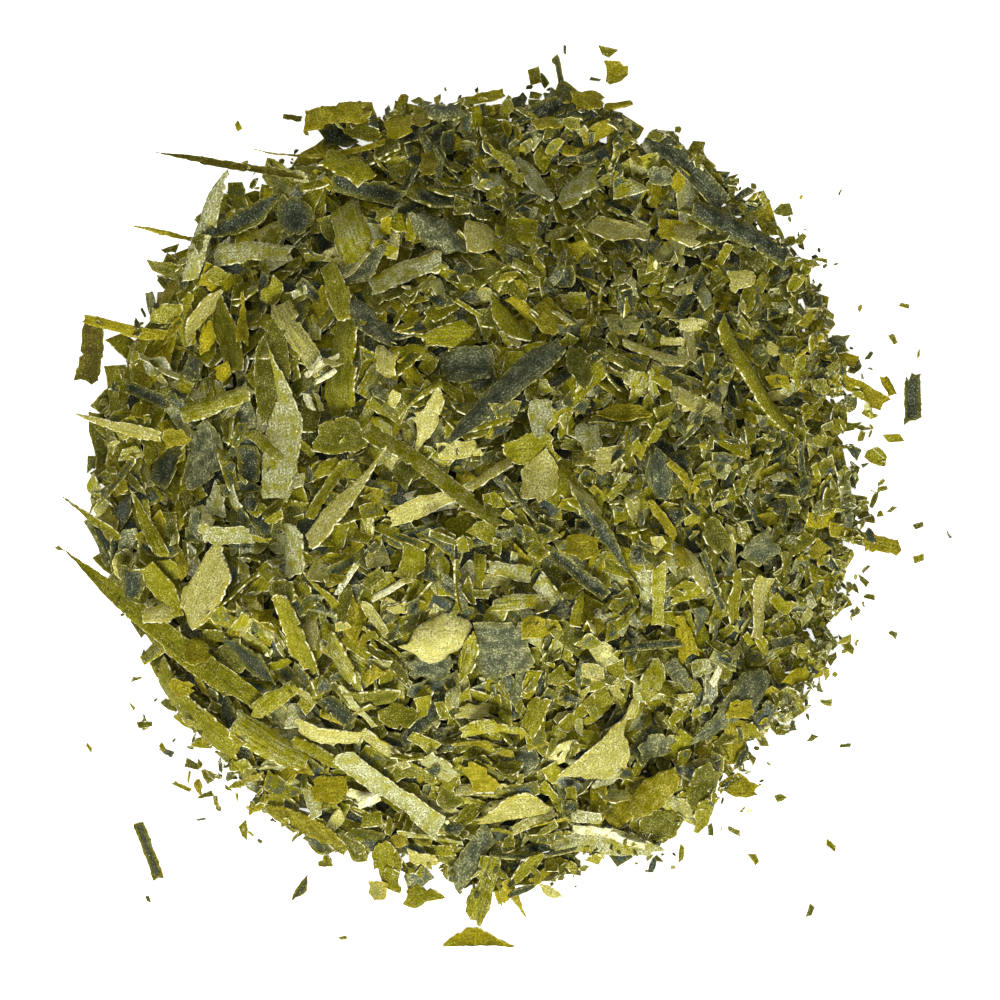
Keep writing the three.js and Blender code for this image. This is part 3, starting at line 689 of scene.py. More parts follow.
def torn_side(form, along, draw):
    """Half width along one side as a share of the most: straight edges between a few corners near those of
    the form."""
    pairs = np.arange(1, len(form) - 1).reshape(-1, 2)
    picked = pairs[np.arange(len(pairs)), draw.integers(0, 2, len(pairs))]
    corners = np.linspace(-1, 1, len(form))
    corners[picked] += draw.uniform(-CORNER_SHIFT, CORNER_SHIFT, len(picked)) / (len(form) - 1)
    shares = np.array(form) * draw.uniform(*CORNER_SPREAD, len(form))
    kept = [0, *picked, -1]
    return np.interp(along, corners[kept], shares[kept])


def measured_side(shares, along, draw):
    """Half width along one side of a form with its own shape."""
    spread = draw.uniform(*MEASURED_SPREAD, len(shares))
    return np.interp(along, np.linspace(-1, 1, len(shares)), shares * spread)


def flake_skin(form, length, width, along, across, bow, draw):
    """One flake lying along X about its middle: a ragged outline, bent, curled and twisted. Also returns half
    its width at each step along it."""
    columns, rows = len(along), len(across)
    if own_shape(form):
        near, far = (measured_side(shares, along, draw) * width / 2 for shares in form)
    else:
        near, far = (torn_side(form, along, draw) * width / 2 for _ in range(2))
    half = (near + far) / 2
    torn = draw.random((columns, 2)) < max(TEARS_A_SIDE / columns, LEAST_TEAR_CHANCE)
    since = np.maximum.accumulate(np.where(torn, np.arange(columns)[:, None], 0), 0)
    depths = draw.normal(0, TEAR_DEPTH * min(width, TEAR_WIDTH_MOST), (columns, 2))
    sides = np.take_along_axis(depths, since, 0)
    sides += draw.normal(0, min(FRAY_MOST, FRAY * width), (columns, 2))
    sway = draw.normal(0, SWAY * width, (SWAY_STEPS, 2))
    for edge in (0, 1):
        sides[:, edge] += np.interp(along, np.linspace(-1, 1, SWAY_STEPS), sway[:, edge])
    bites = draw.random((columns, 2)) < (BITE_CHANCE if width > BITE_WIDTH_LEAST else 0)
    sides += bites * draw.uniform(*BITE_DEPTH, (columns, 2)) * half[:, None] * (1, -1)
    sides[0], sides[-1] = sides[1], sides[-2]
    ends = draw.normal(0, min(END_FRAY_MOST, END_FRAY * width), (2, rows))
    if form in (CHIP, WEDGE) and rows < CUT_ROWS:
        for end, row in ((0, 1), (0, rows - 2), (1, 1), (1, rows - 2)):
            ends[end, row] += draw.choice((0, CORNER_CUT)) * draw.random() * length * (1, -1)[end]
    ends[:, 0], ends[:, -1] = ends[:, 1], ends[:, -2]
    slant = draw.uniform(-SLANT, SLANT, 2) * min(width, SLANT_LENGTH * length) / 2
    first = (-along - STILL_MIDDLE).clip(0) / (1 - STILL_MIDDLE)
    last = (along - STILL_MIDDLE).clip(0) / (1 - STILL_MIDDLE)
    x = along[:, None] * length / 2
    x = x + np.outer(first, ends[0] + slant[0] * across) + np.outer(last, ends[1] + slant[1] * across)
    y = np.outer(near, across.clip(None, 0)) + np.outer(far, across.clip(0))
    y = y + sides[:, :1] * (-across).clip(0) + sides[:, 1:] * across.clip(0)
    if form == LEAF:
        y = y + np.stack([first, last], 1) @ draw.uniform(-TIP_SWAY, TIP_SWAY, (2, 1)) * width
    arch = along**2 - MEAN_SQUARE
    y = y + (bow * (1 - along**2) + draw.normal(0, SIDE_BEND) * length * arch)[:, None]
    bend = draw.normal(0, BEND) * length * arch
    ripple = draw.uniform(*RIPPLE) * min(length, RIPPLE_LENGTH_MOST)
    ripple = ripple * np.sin(draw.uniform(*RIPPLE_TURNS) * along + draw.uniform(*RIPPLE_START))
    curl = draw.normal(0, CURL) * (STRONG_CURL if draw.random() < STRONG_CURL_CHANCE else 1)
    curl = curl * width * (across**2 - MEAN_SQUARE)
    twist = draw.normal(0, TWIST) * along[:, None] * y
    z = (bend + ripple)[:, None] + curl[None, :] * (half / half.max())[:, None] + twist
    return np.stack([x, y, z], -1), half


def finely(skin, along, across, length, width):
    """Points close together all over a flake."""
    u = np.linspace(-1, 1, max(int(length / POINT_GAP), LEAST_POINTS))
    v = np.linspace(-1, 1, max(int(width / POINT_GAP), LEAST_POINTS))
    i = (np.searchsorted(along, u) - 1).clip(0, len(along) - 2)
    j = (np.searchsorted(across, v) - 1).clip(0, len(across) - 2)
    f = ((u - along[i]) / (along[i + 1] - along[i]))[:, None, None]
    g = ((v - across[j]) / (across[j + 1] - across[j]))[None, :, None]
    lines = skin[i] * (1 - f) + skin[i + 1] * f
    return (lines[:, j] * (1 - g) + lines[:, j + 1] * g).reshape(-1, 3)


def lay_flake(piece, form, tone, middle, heading, length, width, grid, tilt, clear, draw,
              bow=0.0, free=(), stands_out=False):
    """Drops one flake on the heap. It turns to the slope under it and rests on the highest places. The height
    of its first end can be given, or of both."""
    along, across = rimmed(grid[0], RIM / length), rimmed(grid[1], RIM / width)
    skin, half_width = flake_skin(form, length, width, along, across, bow, draw)
    points = finely(skin, along, across, length, width)
    forward = np.array([math.cos(heading), math.sin(heading), 0.0])
    sideways = np.array([-forward[1], forward[0], 0.0])
    centre = np.array([middle[0], middle[1], 0.0])
    plan = points[:, :1] * forward + points[:, 1:2] * sideways + centre
    heights = ground[cells(plan)]
    columns = [np.ones(len(points)), points[:, 0], points[:, 1]]
    if stands_out:
        columns.append(points[:, 0] ** 2)
    fit = np.linalg.lstsq(np.stack(columns, 1), heights, rcond=None)[0]
    slope = fit[1:3].clip(-STEEPEST, STEEPEST) + tilt
    if free:
        root = free[1] if len(free) > 1 else np.quantile(heights[points[:, 0] > length / 4], ROOT_LEVEL)
        slope = np.array([(root - free[0]) / length, FREE_ROLL * slope[1]])
    if stands_out:
        bend = 0 if free else np.clip(fit[3], -BEND_MOST, BEND_MOST)
        for made in (skin, points):
            made[..., 2] += bend * (made[..., 0] ** 2 - length**2 / 12)
            made[..., :2] *= np.sqrt(1 + slope**2)
    run = forward + np.array([0, 0, slope[0]])
    run /= np.linalg.norm(run)
    normal = np.cross(run, sideways + np.array([0, 0, slope[1]]))
    normal /= np.linalg.norm(normal)
    turned = np.stack([run, np.cross(normal, run), normal])
    points = points @ turned + centre
    skin_there = skin @ turned + centre
    where = cells(points)
    if len(free) > 1:
        lift = sum(free) / 2
    else:
        gap = ground[where] - points[:, 2]
        place = int(clear * (len(gap) - 1))
        lift = np.partition(gap, place)[place]
    thickness = draw.uniform(*THICKNESS) * np.clip(length / FULL_LENGTH, *LENGTH_SHARES)
    lift = max(lift + thickness / 2, thickness / 2 - skin_there[..., 2].min() + FLOOR_GAP)
    skin_there[..., 2] += lift
    ground[where] = np.maximum(ground[where], points[:, 2] + lift + thickness / 2)
    if stands_out:
        kept_clear[where] = True
    _, (low, high), bloom, ribs, skirt = tone
    whole = stands_out or piece.endswith("_strays")
    flakes.setdefault(piece, []).append({
        "skin": skin_there,
        "flat": skin[..., :2],
        "steps": np.stack(np.meshgrid(along, across, indexing="ij"), -1),
        "half_length": length / 2,
        "half_width": half_width,
        "normal": normal,
        "thickness": thickness,
        "tone": low + (high - low) * draw.uniform(TONE_INSET * whole, 1 - TONE_INSET * whole),
        "shade": draw.uniform(*(OWN_SHADE if whole else ANY_SHADE)),
        "bloom": bloom * draw.uniform(*(OWN_BLOOM if stands_out else ANY_BLOOM)),
        "ribs": ribs * draw.uniform(*RIB_SPREAD),
        "skirt": skirt,
        "patch": draw.uniform(*PATCH_SHARE) if draw.random() < PATCH_CHANCE and not whole else 0.0,
        "grain": draw.uniform(-GRAIN_SHIFT, GRAIN_SHIFT, 2),
    })


def lay_between_ends(piece, row, draw, stands_out):
    """Lays one measured flake between its two ends."""
    form, tone, x1, y1, x2, y2, width, *rest = row
    bow = rest[0] if rest else 0.0
    length = math.hypot(x2 - x1, y2 - y1)
    middle = ((x1 + x2) / 2, (y1 + y2) / 2)
    rows = WIDE_ROWS if width > WIDE_FLAKE else NARROW_ROWS
    grid = (int(np.clip(length / FINE_STEP, *STEPS_ALONG)), rows)
    tilt = draw.normal(0, NOTABLE_TILT, 2) if stands_out else np.zeros(2)
    heading = math.atan2(y2 - y1, x2 - x1)
    lay_flake(piece, form, tone, middle, heading, length, width, grid, tilt, NOTABLE_CLEAR, draw,
              bow, rest[1:], stands_out)


def lay_crumb(form, tone, middle, length, slimness, steps, draw):
    """Lays one loose crumb, turned any way."""
    heading = draw.uniform(0, ANY_WAY)
    width = length * draw.uniform(*slimness)
    lay_flake("loose_crumbs", form, tone, middle, heading, length, width, (steps, LAYER_ROWS), np.zeros(2),
              CRUMB_CLEAR, draw)


def keep_clear(row):
    """Marks the place of a flake that stands out, so that few others are laid over it."""
    _, _, x1, y1, x2, y2, width, *_ = row
    steps = np.linspace(0, 1, CLEAR_STEPS)[:, None, None]
    across = np.linspace(-0.5, 0.5, CLEAR_ROWS)[None, :, None] * width / math.hypot(x2 - x1, y2 - y1)
    place = np.array([x1, y1]) + steps * (x2 - x1, y2 - y1) + across * (y1 - y2, x2 - x1)
    kept_clear[cells(place.reshape(-1, 2))] = True


def in_the_way(x, y, heading, length, width):
    """The share of a flake that would lie in the way of the flakes that stand out."""
    along, across = np.meshgrid(np.linspace(-0.5, 0.5, 5) * length, np.linspace(-0.5, 0.5, 3) * width)
    spots = np.stack([x + along * math.cos(heading) - across * math.sin(heading),
                      y + along * math.sin(heading) + across * math.cos(heading)], -1).reshape(-1, 2)
    return kept_clear[cells(spots)].mean()


def any_tone(fine, at_rim, draw):
    """A tone from the mix, more often a dark one where the flakes are fine and a mustard one at the rim."""
    more = {DARK: 1 + MORE_DARK * fine, SLATE: 1 + MORE_SLATE * fine, MUSTARD: MORE_MUSTARD if at_rim else 1}
    chances = np.array([chance * more.get(tone, 1) for tone, chance in TONE_MIX])
    return TONE_MIX[draw.choice(len(TONE_MIX), p=chances / chances.sum())][0]


def piece_for(tone, length):
    """The piece that a flake of the heap belongs to."""
    slot = tone[0]
    if slot != "olive_kelp":
        return slot.replace("_kelp", "_flakes")
    if length > BLADE_LENGTH:
        return "olive_blades"
    return "olive_chips" if length > CHIP_LENGTH else "olive_bits"


def lay_layer(layer, draw, most):
    """One layer of flakes, but for those with more than about the given share in the way of the flakes that
    stand out."""
    count, forms, lengths, shares, tilt_spread, clear, lean, step = layer
    order = np.arange(count)
    turn = 2 * np.pi * ((order * SPREAD_TURN + draw.random()) % 1)
    rim = foot_radius(turn) + RIM_LUMP * np.cos(RIM_LUMPS * turn + 1) * np.cos(RIM_LUMP_SWELLS * turn)
    for way, room in FREE_RIM:
        rim -= room * np.cos(turn - way).clip(0) ** FREE_RIM_POWER
    reach = np.sqrt((order * SPREAD_REACH + draw.random()) % 1) * rim
    for x, y in zip(reach * np.cos(turn), reach * np.sin(turn)):
        x, y = x + draw.normal(0, JITTER), y + draw.normal(0, JITTER)
        fine = fineness(x, y)
        length = draw.uniform(*lengths) * (COARSE_SIZE - FINE_SHRINK * fine)
        width = max(length * draw.uniform(*shares), LEAST_WIDTH)
        form = forms[draw.integers(len(forms))]
        tilt = draw.normal(0, tilt_spread, 2) * (STEEP_TILT if draw.random() < STEEP_TILT_CHANCE else 1)
        heading = draw.uniform(0, 2 * np.pi)
        way = math.atan2(y, x)
        out = math.hypot(x, y)
        along_rim = length > SWEPT_LENGTH and out > SWEPT_FROM and math.cos(way - SWEPT_SIDE) > SWEPT_COSINE
        if along_rim and draw.random() < SWEPT_CHANCE:
            heading = way + np.pi / 2 + draw.normal(0, SWEPT_SPREAD)
        tone = any_tone(fine, out > MUSTARD_FROM, draw)
        left_out = max(lean * fine, -lean * (1 - fine))
        if draw.random() < left_out:
            continue
        if in_the_way(x, y, heading, length, width) > most * draw.uniform(*COVER_SPREAD):
            continue
        grid = (int(np.clip(length / step, *LAYER_STEPS)), LAYER_ROWS)
        piece = piece_for(tone, length)
        lay_flake(piece, form, tone, (x, y), heading, length, width, grid, tilt, clear, draw)


def lay_layers(layers, most):
    """Some layers of flakes from the lowest up, each with its own seed."""
    for layer in layers:
        lay_layer(layer, np.random.default_rng(layer[0]), most)


# The heap from its bed up, then what lies round it.
lay_layers(BED_LAYERS, BED_COVER)
for row in NOTABLE_FLAKES:
    keep_clear(row)
lay_layers(MIDDLE_LAYERS, MIDDLE_COVER)
notable_draw = np.random.default_rng(NOTABLE_SEED)
for row in NOTABLE_FLAKES:
    length = math.hypot(row[4] - row[2], row[5] - row[3])
    lay_between_ends(piece_for(row[1], length + CHIP_LENGTH), row, notable_draw, True)
lay_layers(TOP_LAYERS, TOP_COVER)
stray_draw = np.random.default_rng(STRAY_SEED)
for row in STRAY_FLAKES.values():
    lay_between_ends(row[1][0].replace("_kelp", "_strays"), row, stray_draw, False)
for middle, spread, count, out in SPILT_BITS:
    for _ in range(count):
        turn = stray_draw.normal(middle, spread)
        reach = foot_radius(turn) - SPILT_INSET + min(stray_draw.exponential(out), SPILT_MOST)
        length = stray_draw.uniform(*SPILT_LENGTH)
        tone = CRUMB_TONES[stray_draw.integers(len(CRUMB_TONES))]
        form = SPILT_FORMS[stray_draw.integers(len(SPILT_FORMS))]
        place = (reach * math.cos(turn), reach * math.sin(turn))
        lay_crumb(form, tone, place, length, SPILT_SLIMNESS, SPILT_STEPS, stray_draw)
for number, (x, y, length) in enumerate(LOOSE_CRUMBS):
    tone = CRUMB_TONES[number % len(CRUMB_TONES)]
    lay_crumb(CHIP, tone, (x, y), length, CRUMB_SLIMNESS, CRUMB_STEPS, stray_draw)


def linked(name, data):
    """A new object in the scene."""
    thing = bpy.data.objects.new(name, data)
    bpy.context.scene.collection.objects.link(thing)
    return thing


def from_centre(points):
    """Points in millimetres from the heap's centre, in metres from the part's origin."""
    return (np.asarray(points) + (*HEAP_CENTRE, 0)) * MM


def quad_mesh(name, points, faces):
    """A mesh of faces with four corners."""
    mesh = bpy.data.meshes.new(name)
    mesh.vertices.add(len(points))
    mesh.vertices.foreach_set("co", from_centre(points).ravel())
    mesh.loops.add(faces.size)
    mesh.loops.foreach_set("vertex_index", faces.ravel())
    mesh.polygons.add(len(faces))
    mesh.polygons.foreach_set("loop_start", np.arange(len(faces)) * 4)
    mesh.update(calc_edges=True)
    return mesh


def add_map(mesh, name, corners):
    """A map with a place for each corner of each face."""
    mesh.uv_layers.new(name=name, do_init=False).uv.foreach_set("vector", corners.ravel())


def add_values(mesh, name, values):
    """A value for each point of a mesh, which materials and node trees read by name."""
    mesh.attributes.new(name, "FLOAT", "POINT").data.foreach_set("value", values)


def flake_faces(columns, rows):
    """Corners of one flake's faces: the top, the underside and the wall between them."""
    index = np.arange(columns * rows).reshape(columns, rows)
    top = np.stack([index[:-1, :-1], index[1:, :-1], index[1:, 1:], index[:-1, 1:]], -1).reshape(-1, 4)
    ring = np.concatenate([index[:-1, 0], index[-1, :-1], index[:0:-1, -1], index[0, :0:-1]])
    after = np.roll(ring, -1)
    below = columns * rows
    wall = np.stack([ring + below, after + below, after, ring], -1)
    return top, top[:, ::-1] + below, wall


def map_places(sizes):
    """A place for each flake's flat copy on a square map, in rows from the tallest down. Returns the places
    and the map's side."""
    order = np.argsort(-sizes[:, 1])
    reach = math.sqrt((sizes[:, 0] * sizes[:, 1]).sum()) * MAP_FILL
    while True:
        places = np.zeros_like(sizes)
        x = y = tall = 0.0
        for k in order:
            wide, high = sizes[k]
            if x + wide > reach:
                x, y, tall = 0.0, y + tall, 0.0
            tall = max(tall, high)
            places[k] = x, y
            x += wide
        if y + tall <= reach:
            return places, reach
        reach *= MAP_GROWTH


def flakes_object(name, laid, material):
    """All the flakes of one piece as one mesh."""
    spans = np.array([np.ptp(flake["flat"].reshape(-1, 2), axis=0) for flake in laid])
    places, reach = map_places(np.stack([spans[:, 0] + 2 * MAP_GAP, 2 * (spans[:, 1] + 2 * MAP_GAP)], 1))
    points, faces, grain, outline, bake = [], [], [], [], []
    values = {key: [] for key in (*FLAKE_VALUES, "half_width")}
    base = 0
    for flake, place, span in zip(laid, places, spans):
        columns, rows = flake["skin"].shape[:2]
        count = columns * rows
        thin = np.full((columns, rows), flake["thickness"] / 2)
        thin[[0, -1]] *= EDGE_THICKNESS
        thin[1:-1, [0, -1]] *= EDGE_THICKNESS
        thin = thin[..., None] * flake["normal"]
        points += [(flake["skin"] + thin).reshape(-1, 3), (flake["skin"] - thin).reshape(-1, 3)]
        top, under, wall = flake_faces(columns, rows)
        corners = np.concatenate([top, under, wall])
        faces.append(corners + base)
        flat = flake["flat"].reshape(-1, 2)
        flat_there = flat - flat.min(0) + MAP_GAP + place
        outward = flat - flat.mean(0)
        outward /= np.linalg.norm(outward, axis=1, keepdims=True) + NO_LENGTH
        lower = flat_there + (0, span[1] + 2 * MAP_GAP)
        bake += [flat_there[top], lower[under - count]]
        low, high = wall >= count, wall % count
        bake.append(flat_there[high] + outward[high] * (WALL_FLARE * low)[..., None])
        grain.append((np.concatenate([flat, flat]) + flake["grain"])[corners])
        steps = flake["steps"].reshape(-1, 2)
        outline.append(np.concatenate([steps, steps])[corners])
        for key in FLAKE_VALUES:
            values[key].append(np.full(2 * count, flake[key]))
        values["half_width"].append(np.tile(np.repeat(flake["half_width"], rows), 2))
        base += 2 * count
    faces = np.concatenate(faces)
    mesh = quad_mesh(name, np.concatenate(points), faces)
    mesh.polygons.foreach_set("use_smooth", np.ones(len(faces), bool))
    mesh.set_sharp_from_angle(angle=SHARP_ANGLE)
    for layer, parts, scale in (("grain", grain, 1), ("outline", outline, 1), ("OFBake", bake, 1 / reach)):
        add_map(mesh, layer, np.concatenate([part.reshape(-1, 2) for part in parts]) * scale)
    for key, parts in values.items():
        add_values(mesh, key, np.concatenate(parts))
    mesh.materials.append(material)
    return linked(name, mesh)


def srgb(red, green, blue):
    """A colour read off as eyes see it, 0 to 255, as the shader takes it."""
    return tuple(
        c / 255 / 12.92 if c <= 10 else ((c / 255 + 0.055) / 1.055) ** 2.4 for c in (red, green, blue)
    ) + (1,)


def node(tree, kind, links=(), **settings):
    """One shader or geometry node: its settings, then its input values and links by socket name or number."""
    made = tree.nodes.new(kind)
    for name, value in settings.items():
        setattr(made, name, value)
    for name, value in dict(links).items():
        socket = made.inputs[name]
        if isinstance(value, bpy.types.NodeSocket):
            tree.links.new(value, socket)
        else:
            socket.default_value = value
    return made


def attribute(tree, name):
    """A value that each flake carries."""
    return node(tree, "ShaderNodeAttribute", attribute_name=name).outputs["Fac"]


def maths(tree, operation, *values, clamp=False):
    """One sum, held between 0 and 1 where it is clamped."""
    links = dict(enumerate(values))
    return node(tree, "ShaderNodeMath", links, operation=operation, use_clamp=clamp).outputs[0]


def stepped(tree, value, low, high, to=1.0):
    """A soft step from 0 at the low value up to the given height at the high one."""
    links = {"Value": value, "From Min": low, "From Max": high, "To Min": 0.0, "To Max": to}
    return node(tree, "ShaderNodeMapRange", links, interpolation_type="SMOOTHSTEP").outputs["Result"]


def blend_colour(tree, share, under, over):
    """One colour mixed over another. The mix node's colour sockets have numbers of their own."""
    return node(tree, "ShaderNodeMix", {0: share, 6: under, 7: over}, data_type="RGBA").outputs[2]


def ramp_colour(tree, tone, stops):
    """The colour of a tone on a ramp."""
    made = node(tree, "ShaderNodeValToRGB", {"Fac": tone})
    elements = made.color_ramp.elements
    for number, (place, colour) in enumerate(stops):
        stop = elements[number] if number < 2 else elements.new(place)
        stop.position = place
        stop.color = srgb(*colour)
    return made.outputs["Color"]


def shaded_colour(tree, colour, shade):
    """A colour made darker or lighter."""
    return node(tree, "ShaderNodeVectorMath", {0: colour, "Scale": shade}, operation="SCALE").outputs[0]


def new_material(name, roughness, gloss):
    """A material with its finish set. Also returns its tree and the inputs of its shader."""
    material = bpy.data.materials.new(name)
    material.use_nodes = True
    tree = material.node_tree
    inputs = tree.nodes["Principled BSDF"].inputs
    inputs["Roughness"].default_value = roughness
    inputs["Specular IOR Level"].default_value = gloss
    return material, tree, inputs


def plain_material(name, colour):
    """A matt material of one colour. Also returns the inputs of its shader."""
    material, _, inputs = new_material(name, PLAIN_ROUGHNESS, PLAIN_GLOSS)
    inputs["Base Color"].default_value = srgb(*colour)
    return material, inputs


def kelp_grain():
    """What all the kelp shares: lengthwise fibres, blotches, a powdery pale bloom and paler broken edges,
    which are partly the edges' own colour and partly painted highlight.
    """
    group = bpy.data.node_groups.new("kelp grain", "ShaderNodeTree")
    for name in ("Speckle", "Edge", "Skirt Reach"):
        group.interface.new_socket(name, in_out="INPUT", socket_type="NodeSocketFloat")
    for name in ("Tone", "Shade", "Patch", "Bloom", "Skirt", "Rim And Highlight", "Relief"):
        group.interface.new_socket(name, in_out="OUTPUT", socket_type="NodeSocketFloat")
    given = group.nodes.new("NodeGroupInput")
    place = node(group, "ShaderNodeUVMap", uv_map="grain").outputs["UV"]

    def noise(scale, detail, where=place, roughness=0.6):
        links = {"Vector": where, "Scale": scale, "Detail": detail, "Roughness": roughness}
        return node(group, "ShaderNodeTexNoise", links).outputs["Fac"]

    # Fibres run along a flake, blotches and grit lie all over it.
    drawn_out = {0: place, 1: (0.22, 4.0, 1.0)}
    drawn_out = node(group, "ShaderNodeVectorMath", drawn_out, operation="MULTIPLY").outputs[0]
    fibre = noise(1.0, 3.0, drawn_out)
    blotch = noise(0.8, 3.0)
    grit = noise(5.0, 2.0, roughness=0.75)
    torn = noise(1.7, 3.0)
    ribs = maths(group, "MULTIPLY", maths(group, "SUBTRACT", fibre, 0.5), attribute(group, "ribs"))
    tone = maths(group, "MULTIPLY_ADD", blotch, 0.9, maths(group, "SUBTRACT", attribute(group, "tone"), 0.45))
    tone = maths(group, "MULTIPLY_ADD", ribs, 0.5, tone)

    # The shade is rougher and the bloom thicker where a blotch is dusted.
    shade = maths(group, "MULTIPLY_ADD", ribs, 1.8, maths(group, "MULTIPLY_ADD", torn, 0.9, 0.55))
    dusted = stepped(group, blotch, 0.4, 0.6)
    rough = maths(group, "MULTIPLY_ADD", dusted, 2.0, 2.2)
    shade = maths(group, "MULTIPLY_ADD", maths(group, "SUBTRACT", grit, 0.5), rough, shade)
    shade = maths(group, "MULTIPLY", maths(group, "MAXIMUM", shade, 0.25), attribute(group, "shade"))
    powder = maths(group, "ADD", stepped(group, grit, 0.48, 0.72, 0.8), 0.06)
    powder = maths(group, "MULTIPLY", powder, dusted)
    powder = maths(group, "MULTIPLY", powder, attribute(group, "bloom"))
    salt = maths(group, "MULTIPLY", stepped(group, noise(6.5, 1.0), 0.66, 0.74), 0.6)
    bloom = maths(group, "MULTIPLY_ADD", powder, given.outputs["Speckle"], salt, clamp=True)

    # The distance in from the outline, in millimetres, gives the thin skirt and the broken pale rim, partly
    # the torn edge's own colour and partly painted highlight.
    steps = node(group, "ShaderNodeUVMap", uv_map="outline").outputs["UV"]
    steps = node(group, "ShaderNodeSeparateXYZ", {0: steps})
    to_end = maths(group, "SUBTRACT", 1.0, maths(group, "ABSOLUTE", steps.outputs["X"]))
    to_side = maths(group, "SUBTRACT", 1.0, maths(group, "ABSOLUTE", steps.outputs["Y"]))
    to_end = maths(group, "MULTIPLY", to_end, attribute(group, "half_length"))
    to_side = maths(group, "MULTIPLY", to_side, attribute(group, "half_width"))
    inside = maths(group, "MINIMUM", to_end, to_side)
    wander = maths(group, "MULTIPLY_ADD", torn, 0.5, -0.25)
    reach = maths(group, "MULTIPLY_ADD", attribute(group, "half_width"), 0.5, 0.12)
    reach = maths(group, "MINIMUM", reach, given.outputs["Skirt Reach"])
    skirt = maths(group, "SUBTRACT", 1.0, stepped(group, maths(group, "ADD", inside, wander), 0.1, reach))
    skirt = maths(group, "MULTIPLY", skirt, attribute(group, "skirt"))
    patch = maths(group, "MULTIPLY", stepped(group, noise(0.5, 3.0), 0.42, 0.56), attribute(group, "patch"))
    patch = maths(group, "MULTIPLY", patch, maths(group, "SUBTRACT", 1.0, skirt))
    # The broken rim line along the edges is partly the torn edge's own colour and partly painted highlight.
    line = maths(group, "SUBTRACT", 1.0, stepped(group, inside, 0.01, 0.1))
    line = maths(group, "MULTIPLY", line, stepped(group, torn, 0.46, 0.61))
    rim = maths(group, "MULTIPLY", line, given.outputs["Edge"], clamp=True)
    relief = maths(group, "MULTIPLY_ADD", ribs, 1.2, maths(group, "MULTIPLY", grit, 0.8))
    made = {"Tone": tone, "Shade": shade, "Patch": patch, "Bloom": bloom, "Skirt": skirt, "Rim And Highlight": rim,
            "Relief": relief}
    node(group, "NodeGroupOutput", made)
    return group


def kelp_material(name, paint, grain):
    """Kelp of one slot: its ramp, then dark patches, thin edges, shade, bloom and broken pale rims over it,
    the rims partly painted highlight.
    """
    material, tree, inputs = new_material(name, KELP_ROUGHNESS, KELP_GLOSS)
    made = node(tree, "ShaderNodeGroup", node_tree=grain)
    for strength, value in paint["strengths"].items():
        made.inputs[strength].default_value = value
    made = made.outputs
    colour = ramp_colour(tree, made["Tone"], paint["ramp"])
    colour = blend_colour(tree, made["Patch"], colour, srgb(*paint["patch"]))
    skirt = maths(tree, "MULTIPLY", made["Skirt"], SKIRT_SHARE)
    colour = blend_colour(tree, skirt, colour, srgb(*paint["skirt"]))
    colour = shaded_colour(tree, colour, made["Shade"])
    colour = blend_colour(tree, made["Bloom"], colour, srgb(*paint["bloom"]))
    # The rim colour goes on as a pale edge that is partly painted highlight.
    colour = blend_colour(tree, made["Rim And Highlight"], colour, srgb(*paint["rim"]))
    tree.links.new(colour, inputs["Base Color"])
    links = {"Strength": RELIEF_STRENGTH, "Distance": RELIEF_DEPTH, "Height": made["Relief"]}
    tree.links.new(node(tree, "ShaderNodeBump", links).outputs["Normal"], inputs["Normal"])
    return material


def heap_core(material):
    """A low mound with a flat base that fills the heap under its flakes, dark as painted shade in the gaps
    between them.
    """
    draw = np.random.default_rng(CORE_SEED)
    reach = np.linspace(0, 1, CORE_RINGS + 1)[1:]
    turn = np.arange(CORE_SPOKES) * 2 * np.pi / CORE_SPOKES
    foot = foot_radius(turn) - LIP_INSET
    x = np.outer(reach, foot * np.cos(turn))
    y = np.outer(reach, foot * np.sin(turn))
    z = core_height(x, y) - draw.uniform(0, CORE_DIPS, x.shape)
    z[-1] = 0
    points = [(0, 0, HEAP_HEIGHT - CORE_DEPTH), (0, 0, 0)]
    points += zip(x.ravel(), y.ravel(), z.clip(0).ravel())
    faces = []
    last = 2 + (CORE_RINGS - 1) * CORE_SPOKES
    for k in range(CORE_SPOKES):
        after = (k + 1) % CORE_SPOKES
        faces.append((0, 2 + k, 2 + after))
        faces.append((1, last + after, last + k))
        for ring in range(CORE_RINGS - 1):
            inner, outer = 2 + ring * CORE_SPOKES, 2 + (ring + 1) * CORE_SPOKES
            faces.append((inner + k, outer + k, outer + after, inner + after))
    mesh = bpy.data.meshes.new("heap_core")
    mesh.from_pydata(from_centre(points), [], faces)
    mesh.materials.append(material)
    return linked("heap_core", mesh)


grain = kelp_grain()
materials = {slot: kelp_material(slot.replace("_", " "), paint, grain) for slot, paint in KELP_PAINTS.items()}
# The core's dark colour is painted shade: it stands for the deep gaps under the flakes.
core = heap_core(plain_material("heap painted shade", CORE_SHADE_COLOUR)[0])
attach(core, "root")
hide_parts("kelp_heap")
for piece, laid in flakes.items():
    first = piece.split("_")[0]
    slot = (first if first != "loose" else "olive") + "_kelp"
    made = flakes_object(piece, laid, materials[slot])
    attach(made, "root")
    if piece.endswith("_strays"):
        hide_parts(*(name for name, row in STRAY_FLAKES.items() if row[1][0] == slot))
    elif piece != "loose_crumbs":
        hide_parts("kelp_heap")


def crumb_ring():
    """The ways from a crumb's middle to its corners."""
    return np.arange(CRUMB_SIDES) * 2 * np.pi / CRUMB_SIDES


